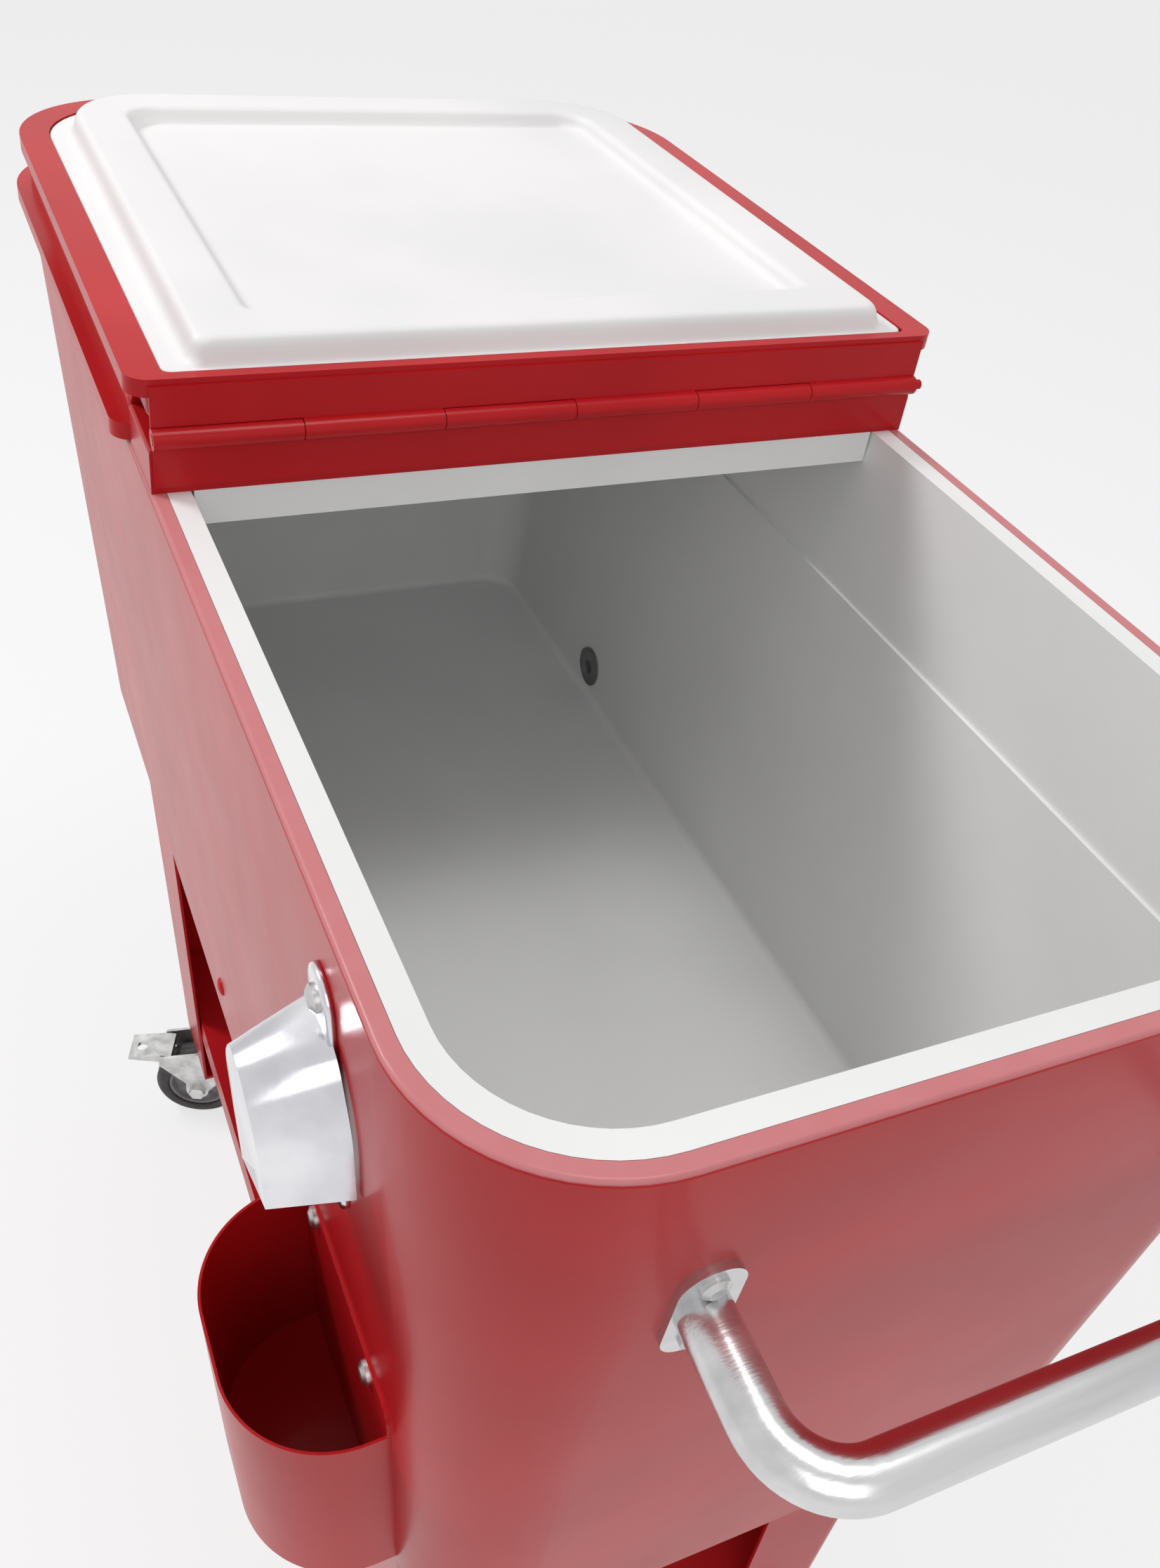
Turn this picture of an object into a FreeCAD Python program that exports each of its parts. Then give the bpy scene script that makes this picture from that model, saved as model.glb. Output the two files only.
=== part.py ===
import FreeCAD, Part
import math
import os

import Sketcher
from FreeCAD import Placement, Rotation, Vector

# Two-lid patio cooler on four casters.  A tapered sheet steel tub holds a foamed plastic liner,
# a hollow bar bridges the middle of the opening, and a lid is hinged to each side of the bar.
# Millimetres, +Z up, +X to the right of someone who faces the bottle opener, -Y towards them.
# The origin is on the ground, below the middle of the tub.
# At rest the right lid is folded back onto the closed left lid.

SIZES = {
    # tub: the opening inside the liner, its rim, and the leaning steel walls
    "inner_width": 340,
    "bay_length": 352,
    "bar_width": 44,
    "flange_width": 10,
    "lip_width": 7,
    "corner_radius": 50,
    "rim_height": 800,
    "shell_depth": 350,
    "inside_depth": 308,
    "wall_slope": 0.07,
    "steel": 1.2,
    "moulding": 2.5,
    "fit_gap": 0.2,
    "bead_depth": 84,
    "bead_step": 2,
    "floor_round": 5,
    "lip_round": 2.2,
    "base_recess": 15,
    "base_flange": 12,
    # bar across the opening, with its white trim below
    "bar_height": 19.5,
    "bar_setback": 1,
    "bar_round": 2.2,
    "trim_drop": 16,
    # hinges
    "leaf_steel": 1.2,
    "leaf_gap": 0.8,
    "leaf_foot": 3,
    "leaf_reach": 20,
    "barrel_radius": 4.5,
    "pin_radius": 2.4,
    "pin_clearance": 0.05,
    "knuckle_gap": 0.4,
    "hinge_setback": 1,
    "pin_overhang": 4,
    # lids, in their closed place
    "lid_gap": 0.4,
    "skirt_top": 8,
    "skirt_overhang": 6,
    "shoulder_width": 8,
    "lid_height": 20.2,
    "fold_gap": 1.2,
    "lid_edge_round": 4.5,
    "hinge_corner": 10,
    "hem_width": 15,
    "hem_hinge_width": 6,
    "panel_inset": 34,
    "panel_clearance": 2,
    "panel_slope": 1.2,
    "plug_depth": 11,
    "plug_clearance": 2,
    "plug_setback": 8,
    "plug_slope": 0.25,
    "plug_rim": 27,
    "plug_recess": 8,
    # legs
    "leg_end_setback": 59,
    "leg_side_setback": 6.5,
    "leg_splay": 6,
    "leg_tuck": 22,
    "leg_sheet": 2,
    "leg_bend": 12,
    "leg_flange_top": 100,
    "leg_flange_bottom": 76,
    "leg_plate": 3,
    "bolt_radius": 3,
    "bolt_head": 5.5,
    "bolt_clearance": 0.1,
    "shelf_height": 178,
    "shelf_flange": 22,
    # casters
    "caster_height": 95,
    "caster_inset_x": 36,
    "caster_inset_y": 33,
    "caster_plate_half_x": 33,
    "caster_plate_half_y": 30,
    "caster_plate_steel": 2.5,
    "caster_plate_corner": 8,
    "caster_bolt_inset_x": 8,
    "caster_bolt_inset_y": 6,
    "raceway_radius": 21,
    "raceway_drop": 4,
    "kingpin_radius": 6,
    "kingpin_head": 9.5,
    "running_gap": 0.3,
    "shaft_clearance": 0.05,
    "fork_steel": 2.5,
    "wheel_radius": 37.5,
    "wheel_width": 24,
    "hub_width": 28.4,
    "hub_radius": 10,
    "caster_trail": 30,
    "axle_radius": 4,
    "brake_pin_radius": 2.5,
    "pedal_half_width": 13,
    # end handles
    "handle_drop": 80,
    "handle_reach": 62,
    "handle_span": 204,
    "handle_tube": 9.5,
    "handle_wall": 1.5,
    "handle_bend": 26,
    "foot_border": 2,
    # bottle opener and cap catcher on the front wall
    "opener_x": 275,
    "opener_drop": 83.5,
    "opener_screw_spacing": 97,
    "opener_plate": 3,
    "opener_reach": 30,
    "hood_half_width": 28,
    "hood_base": 22,
    "hood_shoulder": 14,
    "hood_top": 36,
    "hood_top_half_width": 17,
    "front_half_width": 21,
    "front_base": 20,
    "front_shoulder": 4,
    "front_top": 14,
    "front_top_half_width": 15,
    "mouth_half_width": 18,
    "mouth_height": 29,
    "hood_wall": 4,
    "catch_half_width": 8,
    "catch_reach": 7,
    "catch_thickness": 2.5,
    "screw_radius": 2.5,
    "screw_head": 5,
    "catcher_drop": 235,
    "catcher_x": 263,
    "catcher_half_width": 60,
    "catcher_reach": 55,
    "catcher_depth": 110,
    "catcher_round": 46,
    "catcher_rise": 15,
    "catcher_corner": 6,
    # drain
    "drain_x": 191,
    "drain_above_floor": 20,
    "drain_tube": 8,
    "drain_bore": 5,
    "drain_ring": 14,
    "gasket_border": 2,
    "spout_reach": 48,
    "spout_radius": 10,
    "cap_depth": 16,
}


# how many knuckles a hinge has, on both its leaves together
KNUCKLES = 6

# a leg's side flange as a share of its end flange, and how far along the flanges its bolts stand
SIDE_SHARE = 0.8
BOLT_SHARE = 0.75

# how far each caster is turned about its swivel axis at rest, in degrees
CASTER_TURNS = {"front_left": 68, "front_right": 62, "rear_left": 75, "rear_right": 58}


class Size:
    """A length known both as a number and as the spreadsheet formula that gives it."""

    def __init__(self, value, formula):
        self.value = float(value)
        self.formula = formula

    def __add__(self, other):
        return Size(self.value + number(other), "(%s + %s)" % (self.formula, formula(other)))

    def __radd__(self, other):
        return Size(number(other) + self.value, "(%s + %s)" % (formula(other), self.formula))

    def __sub__(self, other):
        return Size(self.value - number(other), "(%s - %s)" % (self.formula, formula(other)))

    def __rsub__(self, other):
        return Size(number(other) - self.value, "(%s - %s)" % (formula(other), self.formula))

    def __mul__(self, other):
        return Size(self.value * number(other), "(%s * %s)" % (self.formula, formula(other)))

    def __rmul__(self, other):
        return self * other

    def __truediv__(self, other):
        return Size(self.value / number(other), "(%s / %s)" % (self.formula, formula(other)))

    def __neg__(self):
        return self * -1


def number(length):
    return length.value if isinstance(length, Size) else float(length)


def formula(length):
    return length.formula if isinstance(length, Size) else repr(float(length))


def bind(item, path, length):
    """Tie one property of a document object to the formula of a length."""
    item.setExpression(path, formula(length))


class SizeSheet:
    """The spreadsheet of driving dimensions; each one is read as an attribute."""

    def __init__(self, document, sizes):
        sheet = document.addObject("Spreadsheet::Sheet", "Sizes")
        for row, (alias, length) in enumerate(sizes.items(), start=1):
            sheet.set("A%d" % row, alias)
            sheet.set("B%d" % row, str(length))
            sheet.setAlias("B%d" % row, alias)
            setattr(self, alias, Size(length, "Sizes." + alias))
        document.recompute()


doc = FreeCAD.newDocument("Cooler")
d = SizeSheet(doc, SIZES)
pieces = {}


# ---- drawing helpers ----

def name_for(label):
    """A document name that no earlier object has."""
    count = 1
    while doc.getObject("%s_%d" % (label, count)):
        count += 1
    return "%s_%d" % (label, count)


def keep(label, item):
    """Give a finished piece the label that names its file."""
    item.Label = label
    pieces[label] = item
    return item


def place(item, x=0, y=0, z=0, turn_axis=(0, 0, 1), turn="0"):
    """Bind a piece's placement; turn is an angle in degrees or a formula for one."""
    spot = "; ".join(formula(length) for length in (x, y, z))
    axis = "; ".join("%g" % part for part in turn_axis)
    item.setExpression(
        "Placement",
        "create(<<placement>>; create(<<vector>>; %s);"
        " create(<<rotation>>; create(<<vector>>; %s); %s))" % (spot, axis, turn))
    return item


def new_body(label):
    return doc.addObject("PartDesign::Body", name_for(label))


def sketch_on(body, role, offset=0):
    """A sketch on one of the body's own origin planes, moved along that plane's normal.

    The normals are +Z on XY_Plane, -Y on XZ_Plane and +X on YZ_Plane.
    """
    plane = next(item for item in body.Origin.OriginFeatures if item.Role == role)
    sketch = body.newObject("Sketcher::SketchObject", name_for("Sketch"))
    sketch.AttachmentSupport = [(plane, "")]
    sketch.MapMode = "FlatFace"
    bind(sketch, "AttachmentOffset.Base.z", offset)
    return sketch


def constrain(sketch, kind, *where, length=None):
    """Add a constraint, with its value tied to a formula when it has one."""
    if length is None:
        sketch.addConstraint(Sketcher.Constraint(kind, *where))
        return
    index = sketch.addConstraint(Sketcher.Constraint(kind, *where, number(length)))
    name = "size_%d" % index
    sketch.renameConstraint(index, name)
    bind(sketch, "Constraints." + name, length)


def fix_point(sketch, geometry, position, across, up):
    """Hold a point at its place in the sketch; a zero puts it on the axis."""
    for kind, length, axis in (("DistanceX", across, -2), ("DistanceY", up, -1)):
        if isinstance(length, Size) or abs(length) > 1e-9:
            constrain(sketch, kind, -1, 1, geometry, position, length=length)
        else:
            constrain(sketch, "PointOnObject", geometry, position, axis)


def sign(value):
    return (value > 1e-9) - (value < -1e-9)


def outline(sketch, corners, closed=True):
    """Draw a line through corners (across, up, radius); a radius rounds a square corner."""
    count = len(corners)
    flat = [(number(corner[0]), number(corner[1])) for corner in corners]
    starts, ends, rounds = [], [], []
    for index, corner in enumerate(corners):
        here = Vector(*flat[index], 0)
        radius = corner[2] if len(corner) > 2 else None
        if radius is None:
            starts.append(here)
            ends.append(here)
            rounds.append(None)
            continue
        back = Vector(*flat[index - 1], 0) - here
        ahead = Vector(*flat[(index + 1) % count], 0) - here
        back.normalize()
        ahead.normalize()
        bend = number(radius)
        centre = here + (back + ahead) * bend
        first, last = here + back * bend, here + ahead * bend
        turns_left = back.cross(ahead).z < 0
        begin, finish = (first, last) if turns_left else (last, first)
        angles = [math.atan2(point.y - centre.y, point.x - centre.x) for point in (begin, finish)]
        if angles[1] < angles[0]:
            angles[1] += 2 * math.pi
        arc = sketch.addGeometry(Part.ArcOfCircle(
            Part.Circle(centre, Vector(0, 0, 1), bend), angles[0], angles[1]))
        fix_point(sketch, arc, 3, corner[0] + sign((back + ahead).x) * radius,
                  corner[1] + sign((back + ahead).y) * radius)
        constrain(sketch, "Radius", arc, length=radius)
        starts.append(first)
        ends.append(last)
        rounds.append((arc, 1 if turns_left else 2, 2 if turns_left else 1))
    lines = []
    for index in range(count if closed else count - 1):
        following = (index + 1) % count
        lines.append(sketch.addGeometry(Part.LineSegment(ends[index], starts[following])))
    for index, line in enumerate(lines):
        following = (index + 1) % count
        if rounds[index]:
            constrain(sketch, "Tangent", rounds[index][0], rounds[index][2], line, 1)
        else:
            fix_point(sketch, line, 1, corners[index][0], corners[index][1])
        if rounds[following]:
            constrain(sketch, "Tangent", rounds[following][0], rounds[following][1], line, 2)
        elif following < len(lines) and following != 0 or closed:
            constrain(sketch, "Coincident", line, 2, lines[following], 1)
        else:
            fix_point(sketch, line, 2, corners[following][0], corners[following][1])
    return sketch


def circle(sketch, across, up, radius):
    shape = sketch.addGeometry(Part.Circle(
        Vector(number(across), number(up), 0), Vector(0, 0, 1), number(radius)))
    fix_point(sketch, shape, 3, across, up)
    constrain(sketch, "Radius", shape, length=radius)
    return sketch


def box_corners(low_across, low_up, high_across, high_up, radius=None):
    """The four corners of a rectangle, all rounded alike when there is a radius."""
    ends = ((low_across, low_up), (high_across, low_up),
            (high_across, high_up), (low_across, high_up))
    return [end if radius is None else end + (radius,) for end in ends]


def grow(body, sketch, length, reverse=False, slope=None, kind="Pad"):
    """Pad a sketch, or pocket it; a slope leans the sides in as the distance grows."""
    feature = body.newObject("PartDesign::" + kind, name_for(kind))
    feature.Profile = sketch
    bind(feature, "Length", length)
    feature.Reversed = reverse
    if slope is not None:
        feature.setExpression("TaperAngle", "-atan(%s)" % formula(slope))
    sketch.Visibility = False
    return feature


def cut(body, sketch, length, reverse=False, slope=None):
    """Pocket a sketch and make sure that it takes something away."""
    doc.recompute()
    before = body.Shape.Volume
    feature = grow(body, sketch, length, reverse, slope, "Pocket")
    doc.recompute()
    if not before - body.Shape.Volume > 1e-6:
        raise RuntimeError("a pocket in %s cuts nothing" % body.Name)
    return feature


def round_edges(body, choose, radius, least=0):
    """Fillet the edges of the body so far that the test chooses."""
    doc.recompute()
    names = ["Edge%d" % index for index, edge in enumerate(body.Shape.Edges, start=1)
             if edge.Length > least and choose(edge.BoundBox)]
    if not names:
        raise RuntimeError("no edge of %s was found to round" % body.Name)
    rounded = body.Tip
    fillet = body.newObject("PartDesign::Fillet", name_for("Fillet"))
    fillet.Base = (rounded, names)
    bind(fillet, "Radius", radius)
    return fillet


def near(value, length):
    return abs(value - number(length)) < 0.01


def at_level(height):
    """An edge test: the edge lies in the level plane at that height."""
    return lambda box: near(box.ZMin, height) and near(box.ZMax, height)


def hole_along_y(body, across, up, radius, face, depth, inwards):
    """Drill along Y from a plane in front of a wall; inwards is +1 for +Y and -1 for -Y."""
    sketch = circle(sketch_on(body, "XZ_Plane", -1 * face), across, up, radius)
    return cut(body, sketch, depth, reverse=inwards < 0)


def hole_along_x(body, across, up, radius, face, depth, inwards):
    """Drill along X from a plane outside a wall; inwards is +1 for +X and -1 for -X."""
    sketch = circle(sketch_on(body, "YZ_Plane", face), across, up, radius)
    return cut(body, sketch, depth, reverse=inwards > 0)


def rod(radius, length, x=0, y=0, z=0, turn_axis=(0, 0, 1), turn="0"):
    """A plain cylinder that starts at the given point and runs along its turned +Z."""
    item = doc.addObject("Part::Cylinder", name_for("Rod"))
    bind(item, "Radius", radius)
    bind(item, "Height", length)
    return place(item, x, y, z, turn_axis, turn)


def hexagon(radius, length, x=0, y=0, z=0, turn_axis=(0, 0, 1), turn="0"):
    item = doc.addObject("Part::Prism", name_for("Hexagon"))
    item.Polygon = 6
    bind(item, "Circumradius", radius)
    bind(item, "Height", length)
    return place(item, x, y, z, turn_axis, turn)


def dome(radius, height, z=0):
    item = doc.addObject("Part::Cone", name_for("Dome"))
    bind(item, "Radius1", radius)
    bind(item, "Radius2", radius * 0.6)
    bind(item, "Height", height)
    return place(item, 0, 0, z)


def fuse(label, members):
    item = doc.addObject("Part::MultiFuse", name_for(label))
    item.Shapes = members
    return item


def group(label, members):
    item = doc.addObject("Part::Compound", name_for(label))
    item.Links = members
    return item


def take_away(label, base, tool):
    item = doc.addObject("Part::Cut", name_for(label))
    item.Base = base
    item.Tool = tool
    return item


def mirror(label, source, normal):
    """The same piece, mirrored in a plane through the origin."""
    item = doc.addObject("Part::Mirroring", name_for(label))
    item.Source = source
    item.Normal = Vector(*normal)
    return item


def screw(grip):
    """A pan head screw along +Z with its head above z = 0 and its shank below."""
    return fuse("Screw", [
        rod(d.screw_head, d.screw_head * 0.3),
        dome(d.screw_head, d.screw_head * 0.3, d.screw_head * 0.3),
        rod(d.screw_radius, grip, z=-1 * grip),
    ])


def bolt(grip):
    """A bolt along +Z: a hexagon head below z = 0, a shank through the grip, a nut above it."""
    return fuse("Bolt", [
        hexagon(d.bolt_head, d.bolt_radius, z=-1 * d.bolt_radius),
        rod(d.bolt_radius, grip + bolt_end),
        hexagon(d.bolt_head, d.bolt_radius * 1.5, z=grip),
    ])


# ---- sizes that several pieces share ----

bolt_end = d.bolt_radius * 2
nut_room = bolt_end + d.steel

bar_half = d.bar_width / 2
opening_half_length = bar_half + d.bay_length
opening_half_width = d.inner_width / 2
rim_border = d.flange_width + d.lip_width
tub_half_length = opening_half_length + rim_border
tub_half_width = opening_half_width + rim_border
tub_radius = d.corner_radius + rim_border
shell_bottom = d.rim_height - d.shell_depth
base_under = shell_bottom + d.base_recess
base_top = base_under + d.steel
floor_height = d.rim_height - d.inside_depth

axis_x = bar_half + d.leaf_steel + d.leaf_gap / 2
hinge_height = d.lid_height + d.barrel_radius + d.running_gap
axis_z = d.rim_height + hinge_height
lid_start = 2 * axis_x - bar_half
lid_top = d.rim_height + d.lid_height
lid_bottom = d.rim_height + d.lid_gap
hinge_half = tub_half_width - d.bar_setback - d.hinge_setback
knuckle = 2 * hinge_half / KNUCKLES
bore_radius = d.pin_radius + d.pin_clearance

upper_corner = d.hinge_corner * 0.8
panel_hinge_inset = bar_half + axis_x + d.barrel_radius + d.panel_clearance

# the lean of the walls, for a placement
lean = "atan(Sizes.wall_slope)"


def wall_y(drop):
    """The half width of the tub's outer faces at a depth below the rim."""
    return tub_half_width - d.wall_slope * drop


def wall_x(drop):
    """The half length of the tub's outer faces at a depth below the rim."""
    return tub_half_length - d.wall_slope * drop


def tub_outline(sketch, inset, drop=0):
    """A rounded rectangle parallel to the tub's outer edge, at a depth below the rim."""
    shift = inset + d.wall_slope * drop
    half_x = tub_half_length - shift
    half_y = tub_half_width - shift
    return outline(sketch, box_corners(-1 * half_x, -1 * half_y, half_x, half_y,
                                       tub_radius - shift))


def tub_level(body, drop):
    return sketch_on(body, "XY_Plane", d.rim_height - drop)


def on_front_wall(item, x, drop):
    """Stand a piece drawn with its back at y = 0 against the leaning front wall."""
    return place(item, x, -1 * wall_y(drop), d.rim_height - drop, (1, 0, 0), lean)


def on_end_wall(item, drop):
    """Stand a piece drawn with its back at x = 0 against the leaning right end wall."""
    return place(item, wall_x(drop), 0, d.rim_height - drop, (0, 1, 0), lean)


# ---- tub ----

screw_hole = d.screw_radius + d.fit_gap
handle_foot_half_width = d.handle_tube + d.foot_border
handle_foot_half_height = d.handle_tube + 4 * d.screw_radius + 2 * d.foot_border
handle_screw_rise = d.handle_tube + 2 * d.screw_radius + d.foot_border / 2
catcher_screw_x = d.catcher_half_width * 0.6
catcher_screw_rise = d.catcher_rise / 2
drain_height = floor_height + d.drain_above_floor
drain_drop = d.rim_height - drain_height
drain_inner = opening_half_width - d.wall_slope * drain_drop - d.bead_step
drain_outer = wall_y(drain_drop)
drain_hole = d.drain_tube + d.fit_gap


def build_shell():
    """The painted steel wall: leaning sides, an inward lip at the rim, open below."""
    body = new_body("shell")
    grow(body, tub_outline(tub_level(body, 0), d.steel * 0), d.shell_depth, True, d.wall_slope)
    round_edges(body, at_level(d.rim_height), d.lip_round)
    cut(body, tub_outline(tub_level(body, 0), d.lip_width), d.steel)
    cut(body, tub_outline(tub_level(body, d.steel), d.steel, d.steel), d.shell_depth, False,
        d.wall_slope)
    front = -1 * (tub_half_width + d.steel)
    for side in (-1, 1):
        height = d.rim_height - d.opener_drop + side * d.opener_screw_spacing / 2
        hole_along_y(body, d.opener_x, height, screw_hole, front, rim_border * 2, 1)
        hole_along_y(body, d.catcher_x + side * catcher_screw_x,
                     d.rim_height - d.catcher_drop + catcher_screw_rise, screw_hole, front,
                     rim_border * 2, 1)
        for across in (-1, 1):
            for rise in (-1, 1):
                hole_along_x(body, across * d.handle_span / 2,
                             d.rim_height - d.handle_drop + rise * handle_screw_rise,
                             screw_hole, side * (tub_half_length + d.steel), rim_border, -side)
    hole_along_y(body, -1 * d.drain_x, drain_height, drain_hole, tub_half_width + d.steel,
                 rim_border * 2, -1)
    return body


def build_base():
    """The bottom pan, set up inside the shell, with a flange turned down along its edge."""
    body = new_body("base")
    drop = d.shell_depth - d.base_recess - d.steel
    inset = d.steel + d.fit_gap
    depth = d.base_flange + d.steel
    grow(body, tub_outline(tub_level(body, drop), inset, drop), depth, True, d.wall_slope)
    under = drop + d.steel
    cut(body, tub_outline(tub_level(body, under), inset + d.steel, under), depth, False,
        d.wall_slope)
    for x, y in leg_bolt_spots():
        for sx in (-1, 1):
            for sy in (-1, 1):
                hole = circle(sketch_on(body, "XY_Plane", base_top + d.steel), sx * x, sy * y,
                              d.bolt_radius + d.bolt_clearance)
                cut(body, hole, d.steel * 3)
    return body


def build_insulation():
    """The foam between the shell and the liner, clear of the nuts on the bottom pan."""
    body = new_body("foam")
    top = d.moulding + d.fit_gap
    bottom = d.shell_depth - d.base_recess - d.steel - nut_room
    inset = d.steel + d.fit_gap
    grow(body, tub_outline(tub_level(body, top), inset, top), bottom - top, True, d.wall_slope)
    liner_inset = rim_border - d.moulding - d.fit_gap
    cut(body, tub_outline(tub_level(body, top), liner_inset, top),
        d.inside_depth + d.moulding + d.fit_gap - top, False, d.wall_slope)
    hole_along_y(body, -1 * d.drain_x, drain_height, drain_hole, tub_half_width, rim_border * 3, -1)
    return body


def build_liner():
    """The white inner box: rim flange, leaning walls with a step, and a rounded floor."""
    body = new_body("liner")
    grow(body, tub_outline(tub_level(body, 0), d.lip_width + d.fit_gap), d.moulding, True)
    grow(body, tub_outline(tub_level(body, 0), rim_border - d.moulding),
         d.inside_depth + d.moulding, True, d.wall_slope)
    cut(body, tub_outline(tub_level(body, 0), rim_border), d.bead_depth, False, d.wall_slope)
    cut(body, tub_outline(tub_level(body, 0), rim_border + d.bead_step), d.inside_depth, False,
        d.wall_slope)
    round_edges(body, at_level(floor_height), d.floor_round)
    seat = circle(sketch_on(body, "XZ_Plane"), -1 * d.drain_x, drain_height,
                  d.drain_ring + d.fit_gap)
    cut(body, seat, drain_inner + d.wall_slope * d.drain_ring)
    hole_along_y(body, -1 * d.drain_x, drain_height, drain_hole, tub_half_width, rim_border * 4, -1)
    return body


def build_bar():
    """The steel channel across the opening, closed at its ends and open below."""
    body = new_body("bar")
    half_y = tub_half_width - d.bar_setback
    level = sketch_on(body, "XY_Plane", d.rim_height)
    grow(body, outline(level, box_corners(-1 * bar_half, -1 * half_y, bar_half, half_y)),
         d.bar_height)
    round_edges(body, at_level(d.rim_height + d.bar_height), d.bar_round)
    level = sketch_on(body, "XY_Plane", d.rim_height)
    inner_x = bar_half - d.steel
    inner_y = half_y - d.steel
    cut(body, outline(level, box_corners(-1 * inner_x, -1 * inner_y, inner_x, inner_y)),
        d.bar_height - d.steel, True)
    return body


def build_bar_trim():
    """The white moulding under the bar, with an upstand that fills the channel."""
    body = new_body("trim")
    level = sketch_on(body, "XY_Plane", d.rim_height)
    half_y = opening_half_width - d.wall_slope * d.trim_drop - d.fit_gap
    grow(body, outline(level, box_corners(-1 * bar_half, -1 * half_y, bar_half, half_y)),
         d.trim_drop, True)
    level = sketch_on(body, "XY_Plane", d.rim_height)
    inner_x = bar_half - d.steel - d.fit_gap
    grow(body, outline(level, box_corners(-1 * inner_x, -1 * half_y, inner_x, half_y)),
         d.bar_height - d.steel - d.fit_gap)
    level = sketch_on(body, "XY_Plane", d.rim_height + d.bar_height)
    hollow_x = inner_x - d.moulding
    hollow_y = half_y - d.moulding
    cut(body, outline(level, box_corners(-1 * hollow_x, -1 * hollow_y, hollow_x, hollow_y)),
        d.bar_height + d.trim_drop - d.moulding)
    return body


# ---- drain ----

def drain_rod(radius, length, y, kind=rod):
    """A round or six-sided solid on the drain's axis, running towards +Y."""
    return kind(radius, length, -1 * d.drain_x, y, drain_height, (1, 0, 0), "-90")


def build_drain():
    """The spout through the rear wall, its gasket, its nut and its pull-off cap."""
    seat = drain_inner + d.wall_slope * d.drain_ring - d.moulding * 0.8
    spout_end = drain_outer + d.spout_reach
    shoulder = drain_outer + d.moulding
    barrel = fuse("Spout", [
        drain_rod(d.drain_ring, d.moulding * 0.8, seat),
        drain_rod(d.drain_tube, spout_end - seat, seat),
    ])
    keep("drain_fitting", take_away("drain", barrel,
                                    drain_rod(d.drain_bore, spout_end - seat + 2, seat - 1)))
    collar = d.drain_ring + d.gasket_border
    sleeve = take_away("sleeve", drain_rod(collar, d.moulding * 2, shoulder - d.moulding * 2),
                       drain_rod(drain_hole, d.moulding * 4, shoulder - d.moulding * 3))
    block = new_body("tub_block")
    grow(block, tub_outline(tub_level(block, 0), d.steel * 0), d.shell_depth, True, d.wall_slope)
    keep("drain_gasket", take_away("gasket", sleeve, block))
    nut_height = d.bolt_radius * 2.5
    keep("drain_nut", take_away("nut", drain_rod(collar, nut_height, shoulder, hexagon),
                                drain_rod(d.drain_tube + d.shaft_clearance, nut_height + 2,
                                          shoulder - 1)))
    cap_start = spout_end + d.running_gap - d.cap_depth
    cap = drain_rod(d.drain_tube + d.shaft_clearance + d.moulding, d.cap_depth + d.moulding,
                    cap_start)
    grip = drain_rod(d.spout_radius + d.moulding, d.moulding, spout_end + d.running_gap)
    cup = drain_rod(d.drain_tube + d.shaft_clearance, d.cap_depth + 1, cap_start - 1)
    keep("drain_cap", fuse("cap", [take_away("cup", cap, cup), grip]))


# ---- hinges ----

def build_leaf(side, first, low, high, inner, outer):
    """A hinge leaf: a strip beside the bar and every second knuckle around the pin.

    side is +1 or -1, first is 0 or 1 for the knuckle nearest the front, low and high bound the
    strip's height, and inner and outer bound its thickness in X.
    """
    body = new_body("leaf")
    half = hinge_half - d.knuckle_gap / 2
    near_x, far_x = (inner, outer) if side > 0 else (-1 * outer, -1 * inner)
    strip = sketch_on(body, "XZ_Plane", -1 * half)
    grow(body, outline(strip, box_corners(near_x, low, far_x, high)), half * 2)
    web_top = axis_z - bore_radius - (d.barrel_radius - bore_radius) / 2
    for place_index in range(first, KNUCKLES, 2):
        start = -1 * hinge_half + knuckle * place_index + d.knuckle_gap / 2
        length = knuckle - d.knuckle_gap
        web = sketch_on(body, "XZ_Plane", -1 * (start + length))
        grow(body, outline(web, box_corners(near_x, high - 1, far_x, web_top)), length)
        barrel = sketch_on(body, "XZ_Plane", -1 * (start + length))
        grow(body, circle(barrel, side * axis_x, axis_z, d.barrel_radius), length)
    bore = sketch_on(body, "XZ_Plane", -1 * (hinge_half + 1))
    cut(body, circle(bore, side * axis_x, axis_z, bore_radius), hinge_half * 2 + 2, True)
    return body


def build_hinges():
    """Both hinges: the leaves on the bar, the leaves on the lids, and the pins."""
    neck = axis_z - d.barrel_radius - d.running_gap
    for side, word in ((-1, "left"), (1, "right")):
        keep("bar_leaf_" + word, build_leaf(
            side, 0, d.rim_height + d.leaf_foot, neck, bar_half, bar_half + d.leaf_steel))
        leaf = build_leaf(side, 1, neck - d.leaf_reach + d.leaf_foot, neck,
                          lid_start - d.leaf_steel, lid_start)
        keep(word + "_lid_leaf", fold_back(leaf, side))
        keep("hinge_pin_" + word, rod(
            d.pin_radius, hinge_half * 2 + d.pin_overhang, side * axis_x, -1 * hinge_half, axis_z,
            (1, 0, 0), "-90"))


# ---- lids ----

def fold_back(item, side):
    """Turn the right lid's pieces half a turn about their hinge; leave the left ones closed."""
    if side > 0:
        place(item, 2 * axis_x, 0, 2 * axis_z, (0, 1, 0), "180")
    return item


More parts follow.
